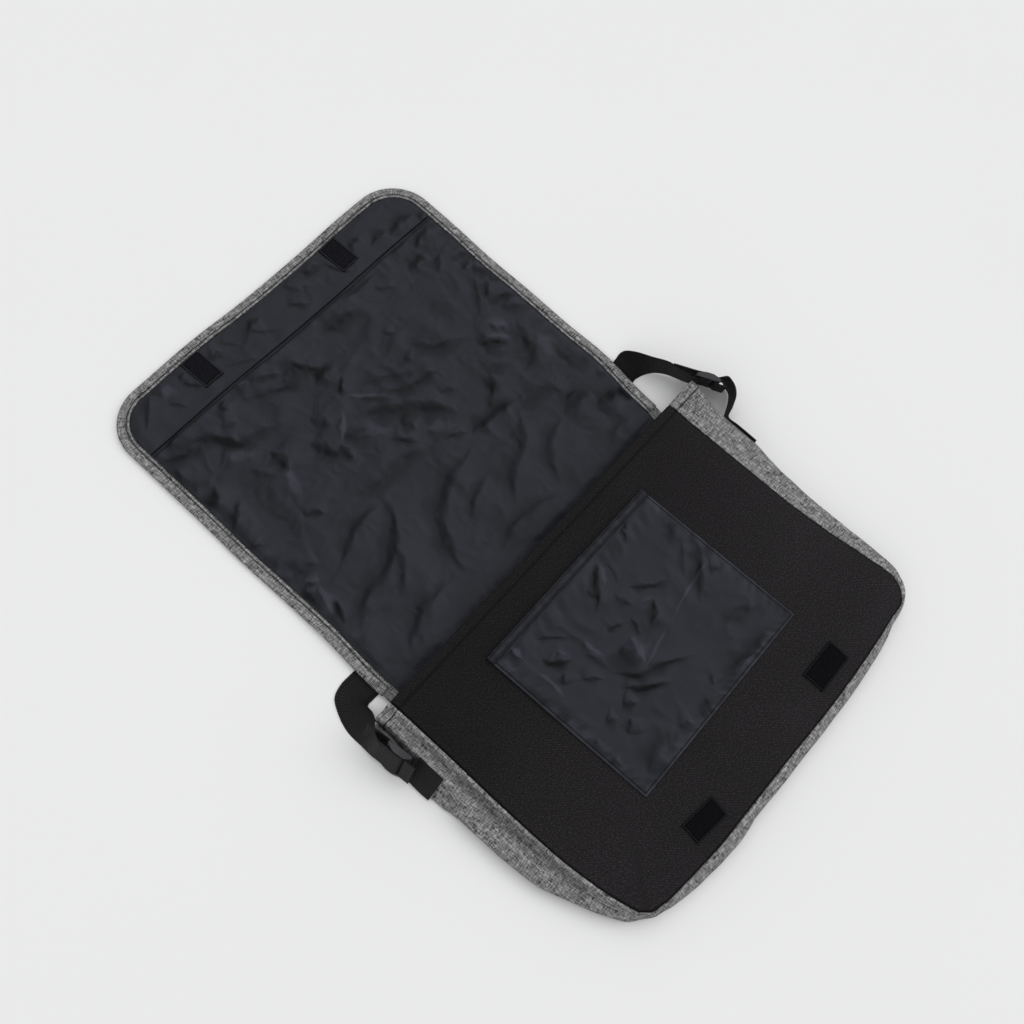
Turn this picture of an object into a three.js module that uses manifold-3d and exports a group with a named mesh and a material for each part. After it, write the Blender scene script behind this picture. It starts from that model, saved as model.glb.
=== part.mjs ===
// Laptop messenger bag lying on its back with the flap laid open, in millimetres.
// X runs along the mouth, Y from the bottom of the bag to the free end of the flap, Z up from the surface.
import * as THREE from "three";
import { mergeVertices } from "three/addons/utils/BufferGeometryUtils.js";
import Module from "manifold-3d";

const wasm = await Module();
wasm.setup();

// Driving sizes
const panelWidth = 389;
const panelLength = 285;
const panelCorner = 18;
const bagDepth = 29;
const gussetReach = 36;
const flapLength = 379;
const flapCorner = 44;
const flapSkew = 0.0086;
const facingLength = 60;
const bindingWidth = 11;
const bindingRest = 0.1;
const pocketWidth = 218;
const pocketLength = 178;
const pocketFromMouth = 36;
const pocketHemWidth = 8.5;
const loopPatchWidth = 40;
const loopPatchLength = 21.5;
const tabWidth = 22;
const tabLength = 35;
const fasteningSpacing = 182;
const fasteningShift = -5;
const loopPatchFromBottom = 10;
const webbingWidth = 30;

// Cloth walls and the gap that neighbours keep
const shellWall = 1.6;
const liningWall = 1;
const flapWall = 1.2;
const bindingWall = 1;
const pocketWall = 1.2;
const patchWall = 1.6;
const webbingWall = 1.5;
const gap = 0.35;
const layerGap = 0.55;

// Strap buckle: three bars and two slots
const buckleBar = 3;
const buckleSlot = 7.5;
const buckleSide = 3;
const buckleThickness = 3;
const buckleClear = 0.6;
const buckleCorner = 2.5;
const buckleRest = 1.2;

// How the flap lies: it is lifted where the strap comes out from under its sides
const flapRest = webbingWall + gap + 0.1;
const flapLift = webbingWall + gap + bindingWall + gap + 0.2;
const flapHinge = 1.7;
const hingeRun = 12;
const settleStart = 90;
const settleRun = 40;

const halfWidth = panelWidth / 2;
const sideLength = panelLength - panelCorner;
const bottomLength = panelWidth - 2 * panelCorner;
const cornerLength = (Math.PI / 2) * panelCorner;
const seamPath = 2 * sideLength + 2 * cornerLength + bottomLength;

const cloth = (color, roughness) => new THREE.MeshStandardMaterial({ color, roughness, metalness: 0 });
const heather = cloth(0x7c7c7c, 0.95);
const canvas = cloth(0x211f20, 0.9);
const nylon = cloth(0x35373d, 0.6);
const webbing = cloth(0x1a1a1b, 0.85);
const hookLoop = cloth(0x0d0d10, 1);
const plastic = cloth(0x2e2e32, 0.4);

const mix = (a, b, t) => a + (b - a) * t;
const clamp = (t) => Math.min(1, Math.max(0, t));
const ease = (t) => clamp(t) ** 2 * (3 - 2 * clamp(t));
const point = (x, y, z) => new THREE.Vector3(x, y, z);

// A row of numbers under its column names
const named = (columns, row) => Object.fromEntries(columns.map((name, i) => [name, row[i]]));

// Reads a column of a table at a place along it, on a smooth curve through the rows
function readTable(rows, place, column) {
  const last = rows.length - 1;
  const next = Math.max(1, rows.findIndex((row) => row.at >= place));
  const high = place > rows[last].at ? last : next;
  const low = high - 1;
  const slope = (i) => {
    const [before, after] = [rows[Math.max(0, i - 1)], rows[Math.min(last, i + 1)]];
    return (after[column] - before[column]) / (after.at - before.at);
  };
  const run = rows[high].at - rows[low].at;
  const t = clamp((place - rows[low].at) / run);
  const bend = slope(low) * run * t * (1 - t) ** 2 - slope(high) * run * t * t * (1 - t);
  return mix(rows[low][column], rows[high][column], ease(t)) + bend;
}

// Closed solid from rings of corners that all have the same count, with both ends capped
function skinRings(rings) {
  const size = rings[0].length;
  const positions = rings.flat().flatMap((p) => [p.x, p.y, p.z]);
  const faces = [];
  for (let r = 0; r + 1 < rings.length; r++) {
    for (let i = 0; i < size; i++) {
      const a = r * size + i;
      const b = r * size + ((i + 1) % size);
      faces.push(a, b, b + size, a, b + size, a + size);
    }
  }
  const half = size / 2;
  const end = (rings.length - 1) * size;
  for (let i = 0; i + 1 < half; i++) {
    const [a, b, c, d] = [i, i + 1, size - 2 - i, size - 1 - i];
    faces.push(a, d, c, a, c, b);
    faces.push(end + a, end + b, end + c, end + a, end + c, end + d);
  }
  return facingOut(positions, faces);
}

// Turns every face round if the solid came out inside out
function facingOut(positions, faces) {
  let volume = 0;
  const corner = (i) => point(...positions.slice(3 * i, 3 * i + 3));
  for (let i = 0; i < faces.length; i += 3) {
    const [a, b, c] = [corner(faces[i]), corner(faces[i + 1]), corner(faces[i + 2])];
    volume += a.dot(b.cross(c));
  }
  const turned = [];
  for (let i = 0; i < faces.length; i += 3) {
    turned.push(faces[i], faces[i + (volume < 0 ? 2 : 1)], faces[i + (volume < 0 ? 1 : 2)]);
  }
  const geometry = new THREE.BufferGeometry();
  geometry.setAttribute("position", new THREE.Float32BufferAttribute(positions, 3));
  geometry.setIndex(turned);
  geometry.computeVertexNormals();
  return geometry;
}

// A geometry as a solid for cutting, and back again
function solidOf(geometry) {
  const bare = geometry.clone();
  bare.deleteAttribute("normal");
  bare.deleteAttribute("uv");
  const merged = mergeVertices(bare, 1e-3);
  const vertProperties = merged.getAttribute("position").array;
  const triVerts = new Uint32Array(merged.index.array);
  return new wasm.Manifold(new wasm.Mesh({ numProp: 3, vertProperties, triVerts }));
}

function carve(body, cutters) {
  const cut = cutters.reduce((solid, cutter) => solid.subtract(solidOf(cutter)), solidOf(body));
  const mesh = cut.getMesh();
  const geometry = new THREE.BufferGeometry();
  geometry.setAttribute("position", new THREE.BufferAttribute(mesh.vertProperties, mesh.numProp));
  geometry.setIndex(new THREE.BufferAttribute(mesh.triVerts, 1));
  return geometry.toNonIndexed();
}

// Cloth wall under a surface given by place(across, along), both from 0 to 1
function sheet(place, acrossStops, alongStops, wall, inward = () => point(0, 0, -1)) {
  const rings = alongStops.map((along) => {
    const outer = acrossStops.map((across) => place(across, along));
    const inner = outer.map((p, i) => p.clone().addScaledVector(inward(acrossStops[i], along), wall));
    return [...outer, ...inner.reverse()];
  });
  return skinRings(rings);
}

const even = (count) => Array.from({ length: count + 1 }, (_, i) => i / count);

// Stops along a length that end in a rounded corner, closer together on the curve
function roundedStops(straightCount, curveCount, curveShare) {
  const straight = even(straightCount).map((t) => t * (1 - curveShare));
  const curve = even(curveCount).slice(1).map((t) => 1 - curveShare * (1 - Math.sin((t * Math.PI) / 2)));
  return [...straight, ...curve];
}

// Stops of the flap from a start near the hinge: close together where it rises, then even, then rounded
function flapStops(count, start) {
  const length = flapLength - start;
  const rise = even(4).map((t) => (t * (hingeRun - start)) / length);
  const rest = roundedStops(count, 6, flapCorner / (flapLength - hingeRun)).slice(1);
  return [...rise, ...rest.map((t) => mix(hingeRun - start, length, t) / length)];
}

// How far a rounded corner has come in, at a distance before the end
const cornerInset = (radius, before) => {
  const rise = clamp(1 - before / radius);
  return radius * (1 - Math.sqrt(1 - rise * rise));
};

// Height of the front panel's upper face: nearly flat, rounded off along its sewn edges
const frontDrops = { side: 2, bottom: 5, sideRun: 22, bottomRun: 30 };
function frontHeight(x, y) {
  const fromSide = halfWidth - Math.abs(x);
  const fromBottom = panelLength + y;
  const side = frontDrops.side * (1 - ease(fromSide / frontDrops.sideRun));
  const bottom = frontDrops.bottom * (1 - ease(fromBottom / frontDrops.bottomRun)) ** 1.5;
  return bagDepth - side - bottom;
}

// Half width of a panel's rounded outline, which the real seams run beside
const panelHalf = (y) => halfWidth - cornerInset(panelCorner, panelLength + y);

// How far a point of a panel moves with its seam, which strays from the rounded outline
function panelShift(x, y, column) {
  const across = clamp((x / panelHalf(y) + 1) / 2);
  const right = seamShare(y);
  const sides = seamShift(1 - right, column).lerp(seamShift(right, column), across);
  const under = seamShift(mix(1 - right, right, across), column);
  return sides.lerp(under, ease((-y / panelLength - 0.6) / 0.4));
}

// Panel as a sheet: across from left to right, along from the mouth to the bottom
function panelPlace(heightAt, column) {
  return (across, along) => {
    const y = -panelLength * along;
    const x = mix(-panelHalf(y), panelHalf(y), across);
    return panelShift(x, y, column).add(point(x, y, heightAt(x, y)));
  };
}

// Height of the front panel at a real place, found back through its shift
function frontSurface(x, y) {
  let [baseX, baseY] = [x, y];
  for (let round = 0; round < 3; round++) {
    const shift = panelShift(baseX, Math.max(-panelLength, Math.min(0, baseY)), "seamOut");
    [baseX, baseY] = [x - shift.x, y - shift.y];
  }
  return frontHeight(baseX, baseY);
}

// Stops that the panels and the gusset share, so that their seams run side by side
const sideSteps = 13;
const cornerSteps = 6;
const bottomStops = [0, 0.04, 0.11, 0.2, 0.32, 0.44, 0.56, 0.68, 0.8, 0.89, 0.96, 1];
const panelStops = roundedStops(sideSteps, cornerSteps, panelCorner / panelLength);

function makeBackPanel() {
  return sheet(panelPlace(() => shellWall, "backOut"), [0, 0.11, 0.5, 0.89, 1], panelStops, shellWall);
}

function makeFrontPanel() {
  return sheet(panelPlace(frontHeight, "seamOut"), bottomStops, panelStops, shellWall);
}

// Gusset sections along the seam path, right mouth to left mouth.
// Out columns are shares of gussetReach beside the rounded outline, up columns are shares of the
// seam's height. The front seam runs at seamOut and the back seam at backOut.
const gussetColumns = [
  "at", "seamOut", "shelfOut", "shelfUp", "shoulderOut", "shoulderUp", "sideOut", "sideUp", "footOut", "backOut",
];
const gussetTable = [
  [0, 0.014, 0.44, 1, 0.86, 0.97, 0.9, 0.5, 0.92, 0],
  [0.053, -0.007, 0.4, 0.99, 0.78, 0.97, 0.8, 0.5, 0.87, 0],
  [0.095, -0.024, 0.38, 0.98, 0.74, 0.95, 0.76, 0.5, 0.83, 0],
  [0.13, -0.035, 0.36, 0.97, 0.63, 0.91, 0.68, 0.5, 0.66, 0],
  [0.17, -0.028, 0.34, 0.96, 0.57, 0.86, 0.66, 0.48, 0.56, 0],
  [0.21, 0.042, 0.33, 0.95, 0.55, 0.83, 0.64, 0.48, 0.52, 0],
  [0.25, 0.145, 0.35, 0.95, 0.54, 0.82, 0.62, 0.48, 0.5, 0],
  [0.275, 0.19, 0.33, 0.94, 0.48, 0.8, 0.54, 0.48, 0.44, 0],
  [0.29, 0.083, 0.21, 0.94, 0.29, 0.8, 0.32, 0.48, 0.28, 0],
  [0.3, 0.014, 0.1, 0.93, 0.15, 0.76, 0.17, 0.48, 0.16, 0],
  [0.312, -0.06, 0.03, 0.93, 0.07, 0.74, 0.1, 0.48, 0.1, 0],
  [0.34, -0.007, 0.1, 0.94, 0.18, 0.78, 0.225, 0.48, 0.2, 0],
  [0.38, 0.055, 0.17, 0.94, 0.27, 0.78, 0.32, 0.48, 0.28, 0],
  [0.43, 0.09, 0.21, 0.94, 0.33, 0.78, 0.38, 0.48, 0.32, 0],
  [0.5, 0.055, 0.19, 0.94, 0.31, 0.78, 0.355, 0.46, 0.31, 0],
  [0.56, 0.036, 0.18, 0.94, 0.3, 0.78, 0.345, 0.46, 0.3, 0],
  [0.585, 0.033, 0.2, 0.94, 0.33, 0.78, 0.385, 0.46, 0.33, 0],
  [0.61, 0.014, 0.17, 0.92, 0.29, 0.76, 0.35, 0.46, 0.3, 0],
  [0.64, -0.055, 0.09, 0.9, 0.19, 0.72, 0.25, 0.44, 0.22, 0],
  [0.67, -0.14, -0.02, 0.86, 0.04, 0.7, 0.08, 0.42, 0.07, -0.04],
  [0.685, -0.235, -0.15, 0.84, -0.1, 0.7, -0.09, 0.42, -0.09, -0.18],
  [0.7, -0.297, -0.24, 0.84, -0.19, 0.7, -0.175, 0.42, -0.18, -0.25],
  [0.71, -0.29, -0.22, 0.84, -0.16, 0.68, -0.135, 0.42, -0.14, -0.23],
  [0.72, -0.2, -0.08, 0.8, 0, 0.66, 0.05, 0.42, 0.04, -0.06],
  [0.74, -0.083, 0.1, 0.68, 0.22, 0.64, 0.3, 0.42, 0.27, 0],
  [0.76, -0.007, 0.17, 0.6, 0.38, 0.66, 0.49, 0.42, 0.45, 0],
  [0.8, 0.075, 0.2, 0.55, 0.52, 0.68, 0.8, 0.42, 0.72, 0],
  [0.875, 0.065, 0.2, 0.55, 0.54, 0.74, 0.85, 0.44, 0.78, 0],
  [0.915, 0.03, 0.24, 0.66, 0.5, 0.86, 0.69, 0.44, 0.92, 0],
  [0.946, 0.014, 0.25, 0.72, 0.48, 0.9, 0.66, 0.46, 0.88, 0],
  [0.968, 0.003, 0.25, 0.76, 0.46, 0.9, 0.54, 0.48, 0.5, 0],
  [1, -0.008, 0.24, 0.82, 0.44, 0.92, 0.48, 0.48, 0.4, 0],
];
const gussetRows = gussetTable.map((row) => named(gussetColumns, row));
const seamRun = 3;
const seamSlope = 0.17;
const seamShareOfWay = 0.6;
const footUp = 0.045;

// Seam path round three sides of the panel: a point and its outward direction
function seamAt(share) {
  const distance = share * seamPath;
  const mirrored = distance > seamPath / 2;
  const s = mirrored ? seamPath - distance : distance;
  const side = mirrored ? -1 : 1;
  if (s <= sideLength) return { x: side * halfWidth, y: -s, out: point(side, 0, 0) };
  const angle = (s - sideLength) / panelCorner;
  if (angle <= Math.PI / 2) {
    const out = point(side * Math.cos(angle), -Math.sin(angle), 0);
    const centre = point(side * (halfWidth - panelCorner), -sideLength, 0);
    const p = centre.addScaledVector(out, panelCorner);
    return { x: p.x, y: p.y, out };
  }
  const along = s - sideLength - cornerLength;
  return { x: side * (halfWidth - panelCorner - along), y: -panelLength, out: point(0, -1, 0) };
}

// Share of the seam path at which its right side has come to this y
function seamShare(y) {
  const past = clamp((-y - sideLength) / panelCorner);
  return (Math.min(-y, sideLength) + panelCorner * Math.asin(past)) / seamPath;
}

// How far a seam strays from the rounded outline at a share of the seam path
function seamShift(share, column) {
  return seamAt(share).out.multiplyScalar(readTable(gussetRows, share, column) * gussetReach);
}

// Outer face of the gusset: across runs from the front seam over the bulge to the back seam
function gussetPlace(across, share) {
  const seam = seamAt(share);
  const top = frontHeight(seam.x, seam.y);
  const out = (column) => readTable(gussetRows, share, column) * gussetReach;
  const up = (column) => readTable(gussetRows, share, column) * top;
  const front = out("seamOut") + gap;
  const back = out("backOut") + gap;
  const frontRun = Math.min(seamRun, (out("shelfOut") - front) * seamShareOfWay);
  const backRun = Math.min(seamRun, (out("footOut") - back) * seamShareOfWay);
  const section = [
    [front, top],
    [front + frontRun, top - seamSlope * frontRun],
    [out("shelfOut"), up("shelfUp")],
    [out("shoulderOut"), up("shoulderUp")],
    [out("sideOut"), up("sideUp")],
    [out("footOut"), footUp * top],
    [back + backRun, 0],
    [back, 0],
  ];
  const corners = section.map(([out, up]) => point(out, 0, up));
  const spot = new THREE.CatmullRomCurve3(corners, false, "centripetal").getPoint(across);
  const z = Math.max(0, spot.z);
  return point(seam.x + seam.out.x * spot.x, seam.y + seam.out.y * spot.x, z);
}

// Direction from the gusset's outer face into the bag
function gussetInward(across, share) {
  const step = 0.004;
  const up = gussetPlace(Math.max(0, across - step), share);
  const down = gussetPlace(Math.min(1, across + step), share);
  const seam = seamAt(share);
  const along = point(seam.out.y, -seam.out.x, 0);
  return down.sub(up).cross(along).normalize();
}

function gussetShares() {
  const side = sideLength / seamPath;
  const corner = cornerLength / seamPath;
  const bottom = bottomLength / seamPath;
  const run = (start, length, stops) => stops.slice(1).map((t) => start + t * length);
  return [
    0,
    ...run(0, side, even(sideSteps)),
    ...run(side, corner, even(cornerSteps)),
    ...run(side + corner, bottom, bottomStops),
    ...run(side + corner + bottom, corner, even(cornerSteps)),
    ...run(1 - side, side, even(sideSteps)),
  ];
}

function makeGusset() {
  const shares = gussetShares();
  return sheet(gussetPlace, even(12), shares, shellWall, gussetInward);
}

// Flap outline, hinge to free end. Sides are shares of halfWidth.
const flapRows = [
  { at: 0, left: -0.98, right: 1.008 },
  { at: 0.1, left: -0.975, right: 1.025 },
  { at: 0.22, left: -0.957, right: 1.058 },
  { at: 0.37, left: -0.95, right: 1.068 },
  { at: 0.5, left: -0.948, right: 1.08 },
  { at: 0.63, left: -0.937, right: 1.086 },
  { at: 0.79, left: -0.928, right: 1.108 },
  { at: 1, left: -0.915, right: 1.122 },
];

// Waves of the flap's free end: at these shares of halfWidth it is longer by these shares of flapLength
const flapEndRows = [
  { at: -0.95, longer: -0.006 },
  { at: -0.65, longer: -0.003 },
  { at: -0.32, longer: 0.0018 },
  { at: 0, longer: -0.0034 },
  { at: 0.35, longer: -0.002 },
  { at: 0.75, longer: 0.0055 },
  { at: 1.1, longer: 0.004 },
];

// How much longer the flap is at a place across, from its skew and the waves of its end
function flapStretch(x, share) {
  const wave = readTable(flapEndRows, x / halfWidth, "longer") * share ** 3;
  return 1 - (flapSkew * x) / halfWidth + wave;
}

// Soft folds of the laid flap, as shares of its length and half width, with heights as shares of foldHeight
const foldHeight = 3.2;
const flapFolds = [
  { along: 0.22, across: 0.45, height: 0.7, longSpread: 0.14, wideSpread: 0.28 },
  { along: 0.34, across: -0.5, height: 0.6, longSpread: 0.2, wideSpread: 0.26 },
  { along: 0.52, across: 0.5, height: 1, longSpread: 0.13, wideSpread: 0.3 },
  { along: 0.58, across: -0.05, height: 0.7, longSpread: 0.15, wideSpread: 0.26 },
  { along: 0.72, across: -0.5, height: 0.6, longSpread: 0.13, wideSpread: 0.34 },
];

// Height of the flap shell's underside
function flapHeight(x, y) {
  const rising = mix(flapHinge, flapLift, ease(y / hingeRun));
  const base = mix(rising, flapRest, ease((y - settleStart) / settleRun));
  const folds = flapFolds.map((fold) => {
    const a = (y / flapLength - fold.along) / fold.longSpread;
    const b = (x / halfWidth - fold.across) / fold.wideSpread;
    return fold.height * foldHeight * Math.exp(-a * a - b * b);
  });
  return base + folds.reduce((sum, h) => sum + h, 0);
}

// A spot of the flap, held in from its outline by inset, with y measured from start to the free end
function flapSpot(across, along, inset, start, stop) {
  const length = flapLength - inset;
  const y = mix(start, stop ?? length, along);
  const before = length - y;
  const radius = flapCorner - inset;
  const round = cornerInset(radius, before);
  const share = clamp(y / flapLength);
  const left = readTable(flapRows, share, "left") * halfWidth + inset + round;
  const right = readTable(flapRows, share, "right") * halfWidth - inset - round;
  const x = mix(left, right, across);
  return point(x, y > 0 ? y * flapStretch(x, share) : y, 0);
}

function flapSheet({ inset, start, under, wall, acrossCount, alongStops }) {
  const place = (across, along) => {
    const p = flapSpot(across, along, inset, start);
    return p.setZ(flapHeight(p.x, p.y) + under + wall);
  };
  return sheet(place, even(acrossCount), alongStops, wall);
}

const flapStart = gap + 0.05;
const liningInset = bindingWidth + 2 * gap;
const facingStart = flapLength - facingLength;

function makeFlapShell() {
  return flapSheet({
    inset: 0,
    start: flapStart,
    under: 0,
    wall: flapWall,
    acrossCount: 12,
    alongStops: flapStops(15, flapStart),
  });
}

// The lining covers the flap and goes on down the inside of the back panel
function makeFlapLining() {
  const bodyInset = 6;
  const low = -panelLength + bodyInset + panelCorner;
  const place = (across, along) => {
    const y = mix(low, facingStart - gap, along);
    if (y < 0) {
      const fade = ease(-y / hingeRun);
      const hinge = flapSpot(across, 0, liningInset, 0, 1).x;
      const x = mix(hinge, mix(-halfWidth + bodyInset, halfWidth - bodyInset, across), fade);
      const over = flapHeight(0, 0) + flapWall + layerGap + liningWall;
      return point(x, y, mix(over, shellWall + gap + liningWall, fade));
    }
    const p = flapSpot(across, y / flapLength, liningInset, 0, flapLength);
    return p.setZ(flapHeight(p.x, p.y) + flapWall + layerGap + liningWall);
  };
  const whole = facingStart - gap - low;
  const rise = even(6).map((t) => (mix(-hingeRun, hingeRun, t) - low) / whole);
  const inside = even(8).slice(0, -1).map((t) => t * rise[0]);
  const outside = even(15).slice(1).map((t) => mix(rise[rise.length - 1], 1, t));
  const stops = [...inside, ...rise, ...outside];
  return sheet(place, even(13), stops, liningWall);
}

function makeFlapFacing() {
  return flapSheet({
    inset: liningInset,
    start: facingStart + gap,
    under: flapWall + layerGap,
    wall: liningWall,
    acrossCount: 13,
    alongStops: roundedStops(4, 6, (flapCorner - liningInset) / (facingLength - liningInset)),
  });
}

// Binding folded round the flap's edge, from the left of the hinge round to the right
function makeFlapBinding() {
  const start = hingeRun;
  const alongStops = roundedStops(16, 6, flapCorner / (flapLength - start));
  const endStops = even(14).slice(1, -1);
  const edge = [
    ...alongStops.map((along) => ({ across: 0, along, side: -1 })),
    ...endStops.map((across) => ({ across, along: 1, side: 0 })),
    ...[...alongStops].reverse().map((along) => ({ across: 1, along, side: 1 })),
  ];
  const spots = edge.map(({ across, along }) => flapSpot(across, along, 0, start));
  const outer = gap + bindingWall;
  const profile = [
    [bindingWidth, -outer],
    [-outer, -outer],
    [-outer, flapWall + layerGap + bindingWall],
    [bindingWidth, flapWall + layerGap + bindingWall],
    [bindingWidth, flapWall + layerGap],
    [-gap, flapWall + layerGap],
    [-gap, -gap],
    [bindingWidth, -gap],
  ];
  const rings = spots.map((spot, i) => {
    const before = spots[Math.max(0, i - 1)];
    const after = spots[Math.min(spots.length - 1, i + 1)];
    const inward = point(after.y - before.y, before.x - after.x, 0).normalize();
    return profile.map(([depth, up]) => {
      const p = spot.clone().addScaledVector(inward, depth);
      return p.setZ(Math.max(bindingRest, flapHeight(p.x, p.y) + up));
    });
  });
  return skinFolded(rings);
}

// Closed solid from rings of a U section, whose ends are capped leg by leg
function skinFolded(rings) {
  const size = 8;
  const positions = rings.flat().flatMap((p) => [p.x, p.y, p.z]);
  const faces = [];
  for (let r = 0; r + 1 < rings.length; r++) {
    for (let i = 0; i < size; i++) {
      const a = r * size + i;
      const b = r * size + ((i + 1) % size);
      faces.push(a, b, b + size, a, b + size, a + size);
    }
  }
  const legs = [
    [0, 7, 6, 1],
    [1, 6, 5, 2],
    [2, 5, 4, 3],
  ];
  const end = (rings.length - 1) * size;
  for (const [a, b, c, d] of legs) {
    faces.push(a, b, c, a, c, d);
    faces.push(end + a, end + c, end + b, end + a, end + d, end + c);
  }
  return facingOut(positions, faces);
}

// Patch pocket: nearly flat, slightly puffed towards its open edge
const pocketShift = -3;
const pocketPuff = 2.5;
const pocketLeft = pocketShift - pocketWidth / 2;
function pocketHeight(across, along) {
  const side = Math.sin(Math.PI * across) ** 0.6;
  const puff = pocketPuff * side * ease(1 - along) * ease(1.1 - along);
  const x = pocketLeft + across * pocketWidth;
  const y = -pocketFromMouth - along * pocketLength;
  return frontSurface(x, y) + gap + pocketWall + puff;
}

function makePocket() {
  const place = (across, along) =>
    point(
      pocketLeft + across * pocketWidth,
      -pocketFromMouth - along * pocketLength,
      pocketHeight(across, along),
    );
  return sheet(place, even(12), even(10), pocketWall);
}

function makePocketHem() {
  const share = pocketHemWidth / pocketLength;
  const place = (across, along) =>
    point(
      pocketLeft + across * pocketWidth,
      -pocketFromMouth - along * pocketHemWidth,
      pocketHeight(across, along * share) + gap + pocketWall,
    );
  return sheet(place, even(12), even(2), pocketWall);
}

function makeLoopPatch(side) {
  const centre = fasteningShift + (side * fasteningSpacing) / 2;
  const place = (across, along) => {
    const x = centre + (across - 0.5) * loopPatchWidth;
    const y = -panelLength + loopPatchFromBottom + (1 - along) * loopPatchLength;
    return point(x, y, frontSurface(x, y) + gap + patchWall);
  };
  return sheet(place, even(4), even(4), patchWall);
}

// The flap's end has spread to the right of the panel by this much
const flapSpread = (readTable(flapRows, 0.8, "right") - 1) * halfWidth;

// Tab laid back over the facing from under the binding's inner edge
function makeHookTab(side) {
  const centre = fasteningShift + (side * fasteningSpacing) / 2 + flapSpread;
  const place = (across, along) => {
    const x = centre + (across - 0.5) * tabWidth;
    const end = (flapLength - bindingWidth - gap) * flapStretch(x, 1);
    const y = end - gap - along * tabLength;
    const over = flapWall + layerGap + liningWall + layerGap;
    return point(x, y, flapHeight(x, y) + over + patchWall);
  };
  return sheet(place, even(4), even(5), patchWall);
}

// Webbing whose edges run through low and high spots, one pair for each station
function band(stations, count) {
  const through = (key) => new THREE.CatmullRomCurve3(stations.map((s) => s[key]), false, "centripetal");
  const low = through("low");
  const high = through("high");
  const shares = even(count);
  const lows = shares.map((t) => low.getPoint(t));
  const highs = shares.map((t) => high.getPoint(t));
  const middles = lows.map((p, i) => p.clone().lerp(highs[i], 0.5));
  const rings = middles.map((middle, i) => {
    const ahead = middles[Math.min(count, i + 1)].clone().sub(middles[Math.max(0, i - 1)]);
    const wide = highs[i].clone().sub(lows[i]).normalize();
    const face = ahead.cross(wide).normalize().multiplyScalar(webbingWall / 2);
    const lowEdge = middle.clone().addScaledVector(wide, -webbingWidth / 2);
    const highEdge = middle.clone().addScaledVector(wide, webbingWidth / 2);
    const corners = [
      lowEdge.clone().add(face),
      highEdge.clone().add(face),
      highEdge.clone().sub(face),
      lowEdge.clone().sub(face),
    ];
    return corners.map((corner) => corner.setZ(Math.max(0, corner.z)));
  });
  return skinRings(rings);
}

// A buckle stands on edge at a side of the bag: run points along the strap, wide up across it
const buckleWidth = webbingWidth + 2 * buckleClear + 2 * buckleSide;
const buckleLength = 3 * buckleBar + 2 * buckleSlot;
function buckleFrame(x, y, runX, runY, lean) {
  const run = point(runX, runY, 0).normalize();
  const flat = point(run.y, -run.x, 0);
  const inner = x > 0 ? flat.clone() : flat.clone().negate();
  const wide = point(0, 0, Math.cos(lean)).addScaledVector(inner, Math.sin(lean));
  const outward = run.clone().cross(wide).normalize();
  if (outward.x * x < 0) outward.negate();
  const centre = point(x, y, (buckleWidth / 2) * wide.z + buckleRest);
  return { run, wide, outward, centre };
}
const rightBuckle = buckleFrame(halfWidth + 50, -8, 0.42, -0.9, 0.1);
const leftBuckle = buckleFrame(-halfWidth - 31.5, -32, 0.08, -0.99, 0.3);

const barPitch = buckleBar + buckleSlot;
const wrap = Math.hypot(buckleBar, buckleThickness) / 2 + gap + webbingWall / 2;

// A station of webbing in a buckle's own frame
function atBuckle(frame, along, out) {
  const middle = frame.centre.clone().addScaledVector(frame.run, along).addScaledVector(frame.outward, out);
  return {
    low: middle.clone().addScaledVector(frame.wide, -webbingWidth / 2),
    high: middle.clone().addScaledVector(frame.wide, webbingWidth / 2),
  };
}

// Webbing turned round one bar: it comes on one face and goes back on the other
function hairpin(frame, bar, side, tail) {
  const arc = [0, 30, 60, 90, 120, 150, 180].map((degrees) => {
    const angle = THREE.MathUtils.degToRad(degrees);
    return atBuckle(frame, bar - Math.sign(bar) * wrap * Math.sin(angle), side * wrap * Math.cos(angle));
  });
  return [...arc, atBuckle(frame, bar + Math.sign(bar) * tail, -side * (wrap + 0.3))];
}

function makeBuckle(frame) {
  const reach = buckleLength / 2 - buckleCorner;
  const half = buckleWidth / 2 - buckleCorner;
  const outline = new THREE.Shape();
  outline.absarc(reach, -half, buckleCorner, -Math.PI / 2, 0);
  outline.absarc(reach, half, buckleCorner, 0, Math.PI / 2);
  outline.absarc(-reach, half, buckleCorner, Math.PI / 2, Math.PI);
  outline.absarc(-reach, -half, buckleCorner, Math.PI, 1.5 * Math.PI);
  const plate = new THREE.ExtrudeGeometry(outline, {
    depth: buckleThickness,
    bevelEnabled: false,
    curveSegments: 4,
  });
  const slotWidth = webbingWidth + 2 * buckleClear;
  const slots = [-1, 1].map((side) => {
    const slot = new THREE.BoxGeometry(buckleSlot, slotWidth, 3 * buckleThickness);
    return slot.translate((side * barPitch) / 2, 0, 0);
  });
  const geometry = carve(plate, slots);
  geometry.translate(0, 0, -buckleThickness / 2);
  const normal = frame.run.clone().cross(frame.wide);
  const axes = new THREE.Matrix4().makeBasis(frame.run, frame.wide, normal);
  geometry.applyMatrix4(axes);
  geometry.translate(frame.centre.x, frame.centre.y, frame.centre.z);
  return geometry;
}

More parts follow.
